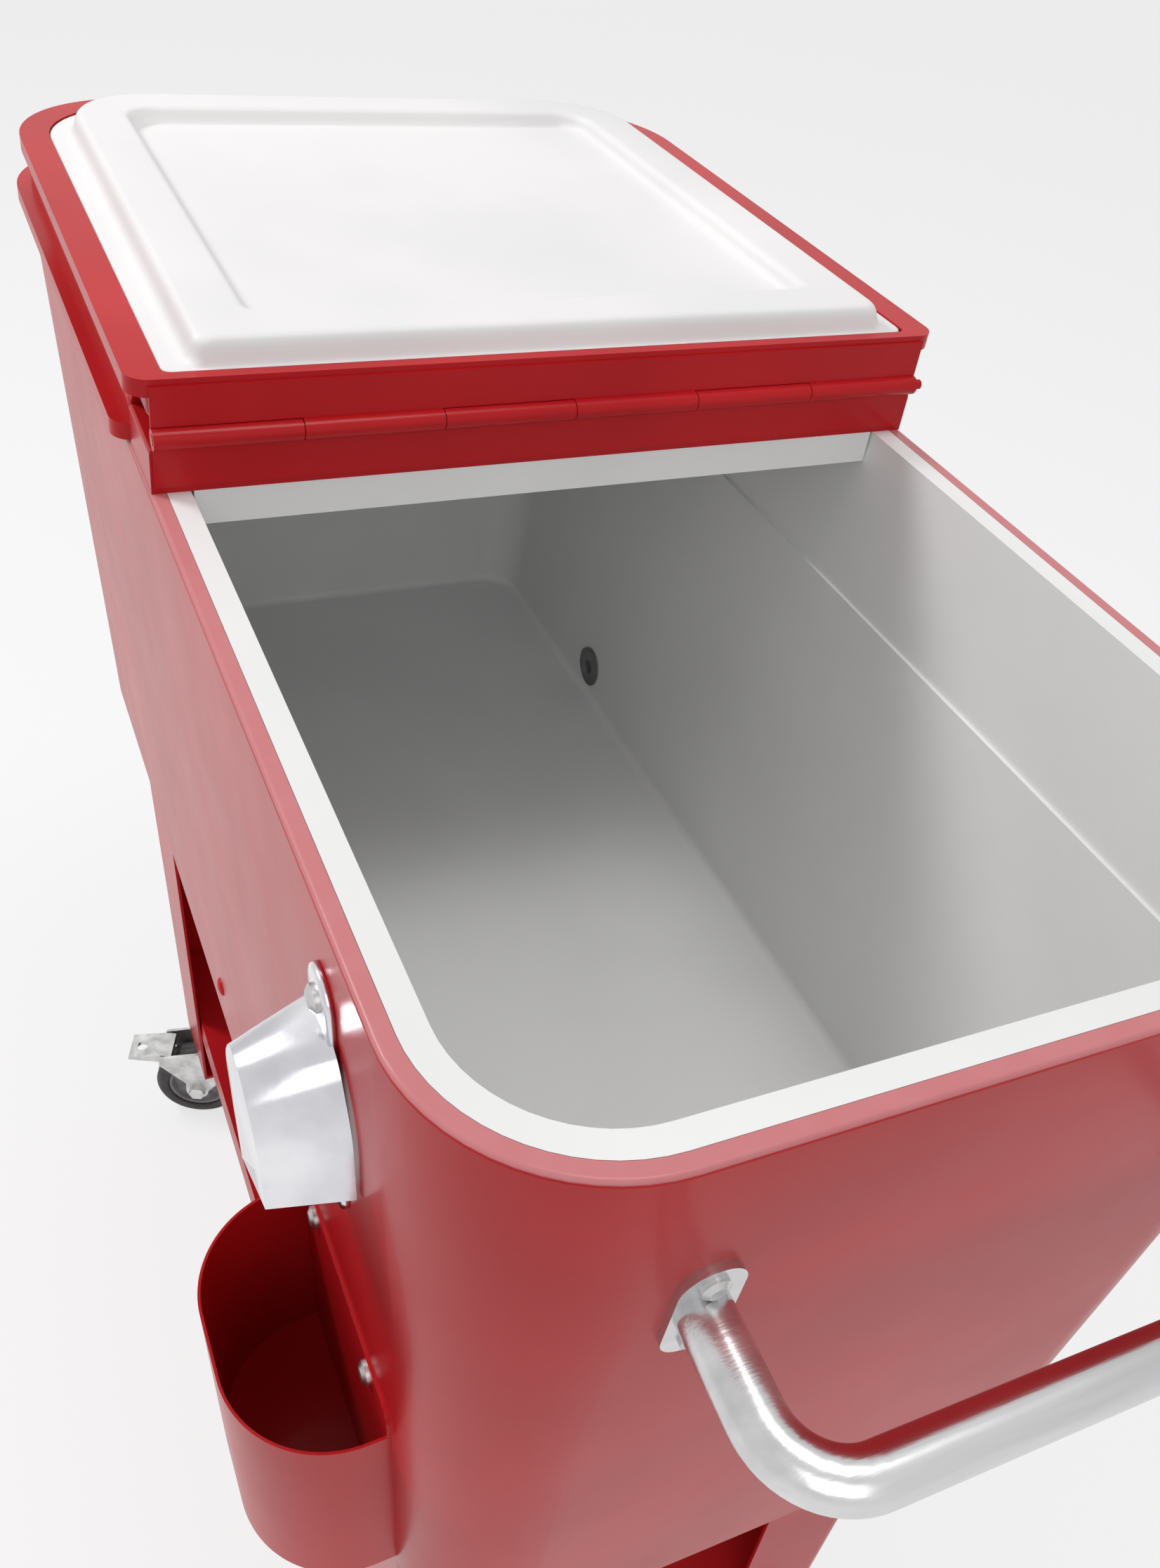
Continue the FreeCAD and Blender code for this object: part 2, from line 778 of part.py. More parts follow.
def lid_outline(sketch, side, start_inset, inset, radius, corner):
    """A lid's outline: its hinge edge, and an edge parallel to the tub's outer edge.

    start_inset moves the hinge edge away from the bar and inset moves the other edges in from
    the skirt's outer face.  radius rounds the outer corners and corner those at the hinge.
    """
    reach = tub_half_length + d.skirt_overhang - inset
    half = tub_half_width + d.skirt_overhang - inset
    start = lid_start + start_inset
    if side > 0:
        corners = [(start, -1 * half, corner), (reach, -1 * half, radius),
                   (reach, half, radius), (start, half, corner)]
    else:
        corners = [(-1 * reach, -1 * half, radius), (-1 * start, -1 * half, corner),
                   (-1 * start, half, corner), (-1 * reach, half, radius)]
    return outline(sketch, corners)


def build_lid_block(side, skin):
    """The solid inside a lid's outer face, or inside its inner face when skin is the steel."""
    body = new_body("lid_block")
    skirt_radius = tub_radius + d.skirt_overhang
    upper_radius = skirt_radius - d.shoulder_width
    skirt_level = d.rim_height + d.skirt_top - skin
    bottom = lid_bottom + skin
    top = lid_top - skin
    grow(body, lid_outline(sketch_on(body, "XY_Plane", bottom), side, skin, skin,
                           skirt_radius - skin, d.hinge_corner - skin), skirt_level - bottom)
    grow(body, lid_outline(sketch_on(body, "XY_Plane", skirt_level), side, skin,
                           d.shoulder_width + skin, upper_radius - skin, upper_corner - skin),
         top - skirt_level)
    round_edges(body, at_level(top), d.lid_edge_round - skin)
    inset = d.panel_inset + skin
    grow(body, lid_outline(sketch_on(body, "XY_Plane", top), side, panel_hinge_inset + skin,
                           d.shoulder_width + inset, upper_radius - inset, d.hinge_corner),
         hinge_height - d.fold_gap / 2 - d.lid_height, False, d.panel_slope)
    return body


def build_lid_skin(side):
    """A lid's steel skin: raised panel, rounded shoulder, skirt, and a hem turned inwards."""
    inside = build_lid_block(side, d.steel)
    hem = sketch_on(inside, "XY_Plane", lid_bottom - 1)
    grow(inside, lid_outline(hem, side, d.hem_hinge_width, d.hem_width,
                             tub_radius + d.skirt_overhang - d.hem_width,
                             d.hinge_corner - d.hem_hinge_width), d.steel + 2)
    return take_away("lid_skin", build_lid_block(side, 0 * d.steel), inside)


def build_lid_liner(side):
    """A lid's white moulding: a flange in the hem, and a plug with a recess in its face."""
    body = new_body("lid_liner")
    skirt_radius = tub_radius + d.skirt_overhang
    flange_top = lid_bottom + d.moulding
    hem = d.hem_width + d.fit_gap
    grow(body, lid_outline(sketch_on(body, "XY_Plane", lid_bottom), side,
                           d.hem_hinge_width + d.fit_gap, hem, skirt_radius - hem,
                           d.hinge_corner - d.hem_hinge_width - d.fit_gap), d.moulding)
    plug = d.skirt_overhang + rim_border + d.plug_clearance
    plug_radius = skirt_radius - plug
    plug_drop = d.plug_depth + d.lid_gap
    grow(body, lid_outline(sketch_on(body, "XY_Plane", lid_bottom), side, d.plug_setback, plug,
                           plug_radius, d.hinge_corner), plug_drop, True, d.plug_slope)
    face = lid_bottom - plug_drop
    recess = plug + d.plug_rim
    cut(body, lid_outline(sketch_on(body, "XY_Plane", face), side, d.plug_setback + d.plug_rim,
                          recess, plug_radius - d.plug_rim, d.hinge_corner),
        d.plug_recess, True, d.plug_slope)
    hollow = plug + d.moulding + d.wall_slope * plug_drop * 4
    hollow_start = d.plug_setback + d.moulding + d.wall_slope * plug_drop * 4
    cut(body, lid_outline(sketch_on(body, "XY_Plane", flange_top), side, hollow_start, hollow,
                          plug_radius - d.moulding * 2, d.hinge_corner - d.moulding),
        flange_top - face - d.plug_recess - d.moulding)
    return body


def build_lid_foam(side):
    """The foam that fills a lid between its skin and its moulding."""
    body = new_body("lid_foam")
    inset = d.shoulder_width + d.steel + d.fit_gap
    radius = tub_radius + d.skirt_overhang - inset
    bottom = lid_bottom + d.moulding + d.fit_gap
    top = lid_top - d.steel - d.fit_gap
    grow(body, lid_outline(sketch_on(body, "XY_Plane", bottom), side, d.steel + d.fit_gap, inset,
                           radius, upper_corner - d.steel - d.fit_gap), top - bottom)
    round_edges(body, at_level(top), d.lid_edge_round - d.steel - d.fit_gap)
    return body


def build_lids():
    for side, word in ((-1, "left"), (1, "right")):
        keep(word + "_lid_skin", fold_back(build_lid_skin(side), side))
        keep(word + "_lid_liner", fold_back(build_lid_liner(side), side))
        keep(word + "_lid_foam", fold_back(build_lid_foam(side), side))


# ---- legs ----

leg_x_top = wall_x(d.shell_depth) - d.leg_end_setback
leg_y_top = wall_y(d.shell_depth) - d.leg_side_setback
leg_x_bottom = leg_x_top + d.leg_splay
leg_y_bottom = leg_y_top - d.leg_tuck
leg_height = base_under - d.caster_height
caster_x = leg_x_bottom - d.caster_inset_x
caster_y = leg_y_bottom - d.caster_inset_y
caster_bolt_x = d.caster_plate_half_x - d.caster_bolt_inset_x
caster_bolt_y = d.caster_plate_half_y - d.caster_bolt_inset_y
leg_plate_top = d.caster_height + d.leg_plate


def leg_x(height):
    """The outer face of a leg's end flange at a height above the ground."""
    return leg_x_bottom - d.leg_splay * (height - d.caster_height) / leg_height


def leg_y(height):
    """The outer face of a leg's side flange at a height above the ground."""
    return leg_y_bottom + d.leg_tuck * (height - d.caster_height) / leg_height


def leg_bolt_spots():
    """Where the bolts between a leg and the bottom pan stand, in the +X +Y quarter."""
    reach = d.leg_flange_top * BOLT_SHARE
    near_corner = d.leg_bend + d.bolt_head
    return [(leg_x_top - reach, leg_y_top - near_corner - d.bolt_head),
            (leg_x_top - near_corner, leg_y_top - reach * SIDE_SHARE)]


def leg_section(sketch, x, y, flange):
    """An L of bent sheet with its outer corner at x, y and its flanges towards the middle."""
    sheet = d.leg_sheet
    return outline(sketch, [
        (x, y, d.leg_bend),
        (x - flange, y),
        (x - flange, y - sheet),
        (x - sheet, y - sheet, d.leg_bend - sheet),
        (x - sheet, y - flange * SIDE_SHARE),
        (x, y - flange * SIDE_SHARE),
    ])


def build_leg():
    """One leg, in the +X +Y quarter: a leaning L with a plate at its top and its foot."""
    body = new_body("leg")
    foot = leg_section(sketch_on(body, "XY_Plane", d.caster_height), leg_x_bottom, leg_y_bottom,
                       d.leg_flange_bottom)
    head = leg_section(sketch_on(body, "XY_Plane", base_under), leg_x_top, leg_y_top,
                       d.leg_flange_top)
    loft = body.newObject("PartDesign::AdditiveLoft", name_for("Loft"))
    loft.Profile = foot
    loft.Sections = [head]
    loft.Ruled = True
    half = d.leg_sheet / 2
    for level, x, y, flange, thick, down in (
            (base_under, leg_x_top, leg_y_top, d.leg_flange_top, d.leg_sheet, True),
            (d.caster_height, leg_x_bottom, leg_y_bottom, d.leg_flange_bottom, d.leg_plate, False)):
        plate = sketch_on(body, "XY_Plane", level)
        grow(body, outline(plate, [
            (x - half, y - half, d.leg_bend - half),
            (x - flange, y - half),
            (x - flange, y - flange * SIDE_SHARE),
            (x - half, y - flange * SIDE_SHARE),
        ]), thick, down)
    hole = d.bolt_radius + d.bolt_clearance
    for x, y in leg_bolt_spots():
        cut(body, circle(sketch_on(body, "XY_Plane", base_under + 1), x, y, hole), d.leg_sheet * 2)
    for side in (-1, 1):
        spot = sketch_on(body, "XY_Plane", leg_plate_top + 1)
        cut(body, circle(spot, caster_x + side * caster_bolt_x, caster_y + side * caster_bolt_y,
                         hole), d.leg_plate * 2)
    bolt_height = d.shelf_height - d.shelf_flange / 2
    hole_along_x(body, shelf_bolt_y, bolt_height, hole, leg_x_bottom + d.leg_splay,
                 d.leg_sheet * 8, -1)
    return body


def in_four_corners(label, item):
    """A piece from the +X +Y quarter and its mirror images, by the corner's name."""
    rear_left = mirror(label, item, (1, 0, 0))
    front_right = mirror(label, item, (0, 1, 0))
    return {"rear_right": item, "rear_left": rear_left, "front_right": front_right,
            "front_left": mirror(label, rear_left, (0, 1, 0))}


shelf_bolt_y = leg_y(d.shelf_height) - d.leg_flange_bottom / 2
shelf_half_x = leg_x(d.shelf_height) - d.leg_sheet - d.fit_gap
shelf_half_y = leg_y(d.shelf_height - d.shelf_flange) - d.leg_sheet - d.fit_gap


def build_shelf():
    """The lower shelf: a shallow upside-down pan between the four legs."""
    body = new_body("shelf")
    half_x = shelf_half_x
    half_y = shelf_half_y
    level = sketch_on(body, "XY_Plane", d.shelf_height)
    grow(body, outline(level, box_corners(-1 * half_x, -1 * half_y, half_x, half_y, d.leg_bend)),
         d.shelf_flange, True)
    under = sketch_on(body, "XY_Plane", d.shelf_height - d.steel)
    half_x = half_x - d.steel
    half_y = half_y - d.steel
    cut(body, outline(under, box_corners(-1 * half_x, -1 * half_y, half_x, half_y,
                                         d.leg_bend - d.steel)), d.shelf_flange)
    height = d.shelf_height - d.shelf_flange / 2
    hole = d.bolt_radius + d.bolt_clearance
    for side in (-1, 1):
        for across in (-1, 1):
            hole_along_x(body, across * shelf_bolt_y, height, hole, side * (shelf_half_x + 1),
                         d.steel * 4, -side)
    return body


def build_frame():
    """Legs, shelf, and the bolts that hold them to the tub, the casters and each other."""
    for corner, item in in_four_corners("leg", build_leg()).items():
        keep("leg_" + corner, item)
    keep("lower_shelf", build_shelf())
    under_tub, in_foot = [], []
    for x, y in leg_bolt_spots():
        under_tub.append(place(bolt(d.leg_sheet + d.steel), x, y, base_under - d.leg_sheet))
    for side in (-1, 1):
        in_foot.append(place(bolt(d.leg_plate + d.caster_plate_steel),
                             caster_x + side * caster_bolt_x, caster_y + side * caster_bolt_y,
                             d.caster_height - d.caster_plate_steel))
    head_x = leg_x(d.shelf_height - d.shelf_flange) + d.fit_gap
    through_shelf = place(bolt(head_x - shelf_half_x + d.steel), head_x, shelf_bolt_y,
                          d.shelf_height - d.shelf_flange / 2, (0, 1, 0), "-90")
    for label, members in (("leg_bolts", under_tub), ("caster_bolts", in_foot),
                           ("shelf_bolts", [through_shelf])):
        corners = in_four_corners(label, group(label, members))
        keep(label, group(label, list(corners.values())))


# ---- casters ----

race_bottom = d.caster_height - d.caster_plate_steel - d.raceway_drop
fork_top = race_bottom - d.running_gap
fork_under = fork_top - d.fork_steel
arm_inner = d.hub_width / 2 + d.running_gap
arm_outer = arm_inner + d.fork_steel
brake_pin_x = -1 * (d.caster_trail + d.wheel_radius * 0.72)
brake_pin_z = d.wheel_radius * 1.96
lug = d.brake_pin_radius * 2
lug_low = lug * 0.8
axle_head = d.axle_radius * 1.8
tread_round = d.wheel_width * 0.3
dish_radius = d.wheel_radius * 0.66
dish_depth = d.wheel_width * 0.28

def corner_signs(corner):
    return (1 if "right" in corner else -1), (1 if "rear" in corner else -1)


def build_caster_plate(sx, sy):
    """A caster's fixed half: bolting plate, race, and the riveted kingpin."""
    body = new_body("caster_plate")
    half_x, half_y = d.caster_plate_half_x, d.caster_plate_half_y
    level = sketch_on(body, "XY_Plane", d.caster_height)
    grow(body, outline(level, box_corners(-1 * half_x, -1 * half_y, half_x, half_y,
                                          d.caster_plate_corner)), d.caster_plate_steel, True)
    grow(body, circle(sketch_on(body, "XY_Plane", race_bottom), 0, 0, d.raceway_radius),
         d.raceway_drop)
    head_top = fork_under - d.running_gap
    grow(body, circle(sketch_on(body, "XY_Plane", head_top), 0, 0, d.kingpin_radius),
         race_bottom - head_top)
    grow(body, circle(sketch_on(body, "XY_Plane", head_top), 0, 0, d.kingpin_head),
         d.raceway_drop, True)
    hole = d.bolt_radius + d.bolt_clearance
    for side in (-1, 1):
        spot = sketch_on(body, "XY_Plane", d.caster_height + 1)
        cut(body, circle(spot, sx * side * caster_bolt_x, sy * side * caster_bolt_y, hole),
            d.caster_plate_steel * 2)
    return body


def build_fork():
    """A caster's fork: a top plate on the kingpin and two arms down to the axle."""
    body = new_body("fork")
    neck = sketch_on(body, "XY_Plane", fork_top)
    grow(body, outline(neck, box_corners(-1 * d.raceway_radius, -1 * arm_outer,
                                         d.raceway_radius * 0.8, arm_outer)), d.fork_steel, True)
    axle_x, axle_z = -1 * d.caster_trail, d.wheel_radius
    boss = d.axle_radius * 2.4
    for start in (-1 * arm_inner, arm_outer):
        arm = sketch_on(body, "XZ_Plane", -1 * start)
        grow(body, outline(arm, [
            (axle_x + boss, axle_z),
            (d.raceway_radius * 0.8, fork_top),
            (-1 * d.raceway_radius, fork_top),
            (brake_pin_x - lug_low, brake_pin_z + lug),
            (brake_pin_x - lug, brake_pin_z - lug_low),
            (axle_x - boss, axle_z + boss),
            (axle_x - boss, axle_z),
        ]), d.fork_steel)
        arm = sketch_on(body, "XZ_Plane", -1 * start)
        grow(body, circle(arm, axle_x, axle_z, boss), d.fork_steel)
    for x, z, radius in ((axle_x, axle_z, d.axle_radius),
                         (brake_pin_x, brake_pin_z, d.brake_pin_radius)):
        hole_along_y(body, x, z, radius + d.shaft_clearance, -1 * (arm_outer + 1),
                     arm_outer * 2 + 2, 1)
    pin_hole = sketch_on(body, "XY_Plane", fork_top + 1)
    cut(body, circle(pin_hole, 0, 0, d.kingpin_radius + d.shaft_clearance), d.fork_steel * 2)
    return body


def build_wheel():
    """A wheel: a rounded tread, a dished web on each side, and a hub bored for the axle."""
    body = new_body("wheel")
    x, z = -1 * d.caster_trail, d.wheel_radius
    half = d.wheel_width / 2
    grow(body, circle(sketch_on(body, "XZ_Plane", -1 * half), x, z, d.wheel_radius), d.wheel_width)
    round_edges(body, lambda box: box.YLength < 0.01 and near(box.XLength, d.wheel_radius * 2),
                tread_round)
    for face, back in ((half, False), (-1 * half, True)):
        ring = circle(sketch_on(body, "XZ_Plane", -1 * face), x, z, dish_radius)
        cut(body, ring, dish_depth, not back)
    grow(body, circle(sketch_on(body, "XZ_Plane", -0.5 * d.hub_width), x, z, d.hub_radius),
         d.hub_width)
    hole_along_y(body, x, z, d.axle_radius + d.shaft_clearance, -0.5 * d.hub_width - 1,
                 d.hub_width + 2, 1)
    return body


def build_axle():
    """A wheel's axle bolt, with its head outside one arm and its nut outside the other."""
    at = {"x": -1 * d.caster_trail, "z": d.wheel_radius, "turn_axis": (1, 0, 0), "turn": "-90"}
    return group("axle", [fuse("axle", [
        rod(d.axle_radius, arm_outer * 2 + axle_head, y=-1 * arm_outer - d.axle_radius, **at),
        hexagon(axle_head, d.axle_radius, y=-1 * arm_outer - d.axle_radius, **at),
        hexagon(axle_head, d.axle_radius, y=arm_outer, **at),
    ])])


def build_brake():
    """A front caster's brake: a pedal on a pin through the arms, with a shoe over the tread."""
    body = new_body("brake")
    half = d.pedal_half_width
    thick = d.fork_steel
    reach = d.wheel_radius * 0.85
    profile = sketch_on(body, "XZ_Plane", -1 * half)
    grow(body, outline(profile, [
        (brake_pin_x + lug, brake_pin_z - lug_low),
        (brake_pin_x + lug, brake_pin_z + lug),
        (brake_pin_x - lug, brake_pin_z + lug),
        (brake_pin_x - reach, brake_pin_z),
        (brake_pin_x - reach, brake_pin_z - thick),
        (brake_pin_x - lug, brake_pin_z - lug_low),
    ]), half * 2)
    pin = sketch_on(body, "XZ_Plane", -1 * arm_outer)
    grow(body, circle(pin, brake_pin_x, brake_pin_z, d.brake_pin_radius), arm_outer * 2)
    eye = sketch_on(body, "XY_Plane", brake_pin_z + lug + 1)
    cut(body, circle(eye, brake_pin_x - reach + lug * 2, 0, lug), thick * 6)
    return body


def build_casters():
    for corner, turn in CASTER_TURNS.items():
        sx, sy = corner_signs(corner)
        keep("caster_plate_" + corner,
             place(build_caster_plate(sx, sy), sx * caster_x, sy * caster_y, 0))
        turning = {"fork_": build_fork, "axle_": build_axle, "wheel_": build_wheel}
        if sy < 0:
            turning["brake_"] = build_brake
        for prefix, build in turning.items():
            keep(prefix + corner,
                 place(build(), sx * caster_x, sy * caster_y, 0, (0, 0, 1), str(turn)))


# ---- handles, opener and catcher ----

def build_handle():
    """An end handle: a bent tube with a foot at each end, drawn with the wall at x = 0."""
    body = new_body("handle")
    half = d.handle_span / 2
    profile = sketch_on(body, "YZ_Plane")
    circle(profile, -1 * half, 0, d.handle_tube)
    circle(profile, -1 * half, 0, d.handle_tube - d.handle_wall)
    path = outline(sketch_on(body, "XY_Plane"), [
        (0 * d.steel, -1 * half),
        (d.handle_reach, -1 * half, d.handle_bend),
        (d.handle_reach, half, d.handle_bend),
        (0 * d.steel, half),
    ], closed=False)
    doc.recompute()
    pipe = body.newObject("PartDesign::AdditivePipe", name_for("Pipe"))
    pipe.Profile = profile
    pipe.Spine = (path, ["Edge%d" % (index + 1) for index in range(len(path.Shape.Edges))])
    for side in (-1, 1):
        foot = sketch_on(body, "YZ_Plane")
        half_foot = handle_foot_half_width
        grow(body, outline(foot, box_corners(
            side * half - half_foot, -1 * handle_foot_half_height,
            side * half + half_foot, handle_foot_half_height, half_foot - 1)), d.leg_plate)
        for rise in (-1, 1):
            hole_along_x(body, side * half, rise * handle_screw_rise,
                         d.screw_radius + d.bolt_clearance, d.leg_plate + 1, d.leg_plate * 2, -1)
    return body


def build_handles():
    handle = on_end_wall(build_handle(), d.handle_drop)
    keep("handle_right", handle)
    keep("handle_left", mirror("handle", handle, (1, 0, 0)))
    screws = []
    for side in (-1, 1):
        for rise in (-1, 1):
            screws.append(place(screw(d.leg_plate + d.steel), d.leg_plate,
                                side * d.handle_span / 2, rise * handle_screw_rise,
                                (0, 1, 0), "90"))
    right = on_end_wall(group("handle_screws", screws), d.handle_drop)
    keep("handle_screws", group("handle_screws",
                                [right, mirror("handle_screws", right, (1, 0, 0))]))


def hood_outline(sketch, half_width, base, shoulder, top, top_half_width):
    """Six corners of the hood: level below, upright sides, and a narrower top."""
    return outline(sketch, [
        (-1 * half_width, -1 * base), (half_width, -1 * base), (half_width, shoulder),
        (top_half_width, top), (-1 * top_half_width, top), (-1 * half_width, shoulder),
    ])


def build_opener():
    """The cast opener: a screwed plate and a domed hood, open below, with a catch inside."""
    body = new_body("opener")
    ear = d.screw_head * 2.2
    rise = d.opener_screw_spacing / 2
    plate = sketch_on(body, "XZ_Plane")
    grow(body, outline(plate, box_corners(-1 * ear, -1 * rise - ear, ear, rise + ear, ear * 0.95)),
         d.opener_plate)
    back = hood_outline(sketch_on(body, "XZ_Plane", d.opener_plate / 2), d.hood_half_width,
                        d.hood_base, d.hood_shoulder, d.hood_top, d.hood_top_half_width)
    front = hood_outline(sketch_on(body, "XZ_Plane", d.opener_reach), d.front_half_width,
                         d.front_base, d.front_shoulder, d.front_top, d.front_top_half_width)
    loft = body.newObject("PartDesign::AdditiveLoft", name_for("Loft"))
    loft.Profile = back
    loft.Sections = [front]
    loft.Ruled = True
    inside_front = d.hood_wall - d.opener_reach
    mouth = sketch_on(body, "XY_Plane", -1 * d.hood_base - 1)
    cut(body, outline(mouth, box_corners(-1 * d.mouth_half_width, inside_front, d.mouth_half_width,
                                         -1 * d.opener_plate - 1, d.hood_wall)),
        d.mouth_height + 1, True)
    catch = sketch_on(body, "XY_Plane", -1 * d.front_base)
    grow(body, outline(catch, box_corners(-1 * d.catch_half_width, inside_front - d.hood_wall / 2,
                                          d.catch_half_width,
                                          inside_front - d.hood_wall / 2 + d.catch_reach)),
         d.catch_thickness)
    for side in (-1, 1):
        hole_along_y(body, 0, side * rise, d.screw_radius + d.bolt_clearance,
                     -1 * d.opener_plate - 1, d.opener_plate * 2, 1)
    return body


def build_catcher():
    """The cap catcher: a bowed sheet pocket, open above, on a back plate."""
    body = new_body("catcher")
    half = d.catcher_half_width
    reach = -1 * d.catcher_reach
    top = sketch_on(body, "XY_Plane")
    grow(body, outline(top, [(-1 * half, 0), (-1 * half, reach, d.catcher_round),
                             (half, reach, d.catcher_round), (half, 0)]), d.catcher_depth, True)
    inner = half - d.steel
    mouth = sketch_on(body, "XY_Plane")
    cut(body, outline(mouth, [(-1 * inner, -1 * d.steel),
                              (-1 * inner, reach + d.steel, d.catcher_round - d.steel),
                              (inner, reach + d.steel, d.catcher_round - d.steel),
                              (inner, -1 * d.steel)]), d.catcher_depth - d.steel)
    back = sketch_on(body, "XZ_Plane")
    grow(body, outline(back, box_corners(-1 * half, -1 * d.catcher_rise, half, d.catcher_rise,
                                         d.catcher_corner)), d.steel)
    for side in (-1, 1):
        hole_along_y(body, side * catcher_screw_x, catcher_screw_rise,
                     d.screw_radius + d.bolt_clearance, -1 * d.steel - 1, d.steel * 3, 1)
    return body


def build_front_fittings():
    """The opener and the catcher on the front wall, each with its own screws."""
    keep("bottle_opener", on_front_wall(build_opener(), d.opener_x, d.opener_drop))
    keep("cap_catcher", on_front_wall(build_catcher(), d.catcher_x, d.catcher_drop))
    for label, x, drop, thick, spots in (
            ("opener_screws", d.opener_x, d.opener_drop, d.opener_plate,
             [(0, d.opener_screw_spacing / 2), (0, -1 * d.opener_screw_spacing / 2)]),
            ("catcher_screws", d.catcher_x, d.catcher_drop, d.steel,
             [(catcher_screw_x, catcher_screw_rise), (-1 * catcher_screw_x, catcher_screw_rise)])):
        screws = [place(screw(thick + d.steel), across, -1 * thick, up, (1, 0, 0), "90")
                  for across, up in spots]
        keep(label, on_front_wall(group(label, screws), x, drop))


# ---- the whole cooler ----

def build_tub():
    keep("tub_shell", build_shell())
    keep("tub_base", build_base())
    keep("tub_insulation", build_insulation())
    keep("tub_liner", build_liner())
    keep("center_bar", build_bar())
    keep("center_bar_trim", build_bar_trim())


def check_document():
    """Stop if any object failed, or if a piece has no sound shape."""
    failed = [item.Label for item in doc.Objects
              if "Invalid" in item.State or "Error" in item.State]
    failed += [label for label, item in pieces.items()
               if item.Shape.isNull() or not item.Shape.isValid() or not item.Shape.Solids]
    if failed:
        raise RuntimeError("these objects failed: " + ", ".join(failed))


def write_pieces():
    os.makedirs("parts", exist_ok=True)
    for label, item in sorted(pieces.items()):
        item.Shape.exportStep(os.path.join("parts", label + ".step"))
        print("%-26s %d solids %12.1f mm3" % (label, len(item.Shape.Solids), item.Shape.Volume))


build_tub()
build_drain()
build_hinges()
build_lids()
build_frame()
build_casters()
build_handles()
build_front_fittings()
doc.recompute()
check_document()
write_pieces()
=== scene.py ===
"""Finishes, fine surfaces, light and camera for a two-lid patio cooler on casters."""

import logging
import math
from dataclasses import dataclass
from enum import Enum
from typing import Any, Dict, Iterable, Sequence, Tuple, Union

import bmesh
import bpy
import numpy as np
from mathutils import Matrix, Vector


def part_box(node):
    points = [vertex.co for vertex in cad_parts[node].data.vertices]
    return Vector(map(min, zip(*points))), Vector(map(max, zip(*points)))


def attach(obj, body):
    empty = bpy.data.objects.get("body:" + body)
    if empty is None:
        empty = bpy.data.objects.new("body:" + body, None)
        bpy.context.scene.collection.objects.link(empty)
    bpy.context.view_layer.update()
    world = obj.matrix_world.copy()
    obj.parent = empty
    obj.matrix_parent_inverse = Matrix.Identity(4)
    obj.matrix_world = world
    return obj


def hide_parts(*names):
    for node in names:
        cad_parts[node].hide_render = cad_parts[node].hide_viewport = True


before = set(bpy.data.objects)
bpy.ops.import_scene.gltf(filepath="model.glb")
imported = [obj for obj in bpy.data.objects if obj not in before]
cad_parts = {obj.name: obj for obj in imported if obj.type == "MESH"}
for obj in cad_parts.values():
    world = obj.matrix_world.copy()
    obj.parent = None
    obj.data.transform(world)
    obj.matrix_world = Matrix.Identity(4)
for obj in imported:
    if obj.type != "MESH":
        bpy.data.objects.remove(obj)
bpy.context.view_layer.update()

log = logging.getLogger("cooler")
Array = np.ndarray
Colour = Tuple[float, float, float]
MM = 0.001


# ---- shader nodes ----


class Wire:
    """A shader socket that can be used in Python arithmetic."""

    def __init__(self, tree: "Tree", socket: Any) -> None:
        """Wrap one output socket of a tree."""
        self.tree = tree
        self.socket = socket

    def _math(self, operation: str, first: Any, second: Any) -> "Wire":
        """Add a Math node on two values or wires."""
        return self.tree.add("ShaderNodeMath", {"operation": operation}, {0: first, 1: second})

    def __add__(self, other: Any) -> "Wire":
        """Return this plus other."""
        return self._math("ADD", self, other)

    __radd__ = __add__

    def __sub__(self, other: Any) -> "Wire":
        """Return this minus other."""
        return self._math("SUBTRACT", self, other)

    def __rsub__(self, other: Any) -> "Wire":
        """Return other minus this."""
        return self._math("SUBTRACT", other, self)

    def __mul__(self, other: Any) -> "Wire":
        """Return this times other."""
        return self._math("MULTIPLY", self, other)

    __rmul__ = __mul__

    def clamp(self) -> "Wire":
        """Return this held between nought and one."""
        return self.tree.add("ShaderNodeClamp", {}, {"Value": self})

    def band(self, low: float, high: float) -> "Wire":
        """Return a smooth step from nought at low to one at high."""
        return self.tree.add(
            "ShaderNodeMapRange", {"interpolation_type": "SMOOTHSTEP"},
            {"Value": self, "From Min": low, "From Max": high})


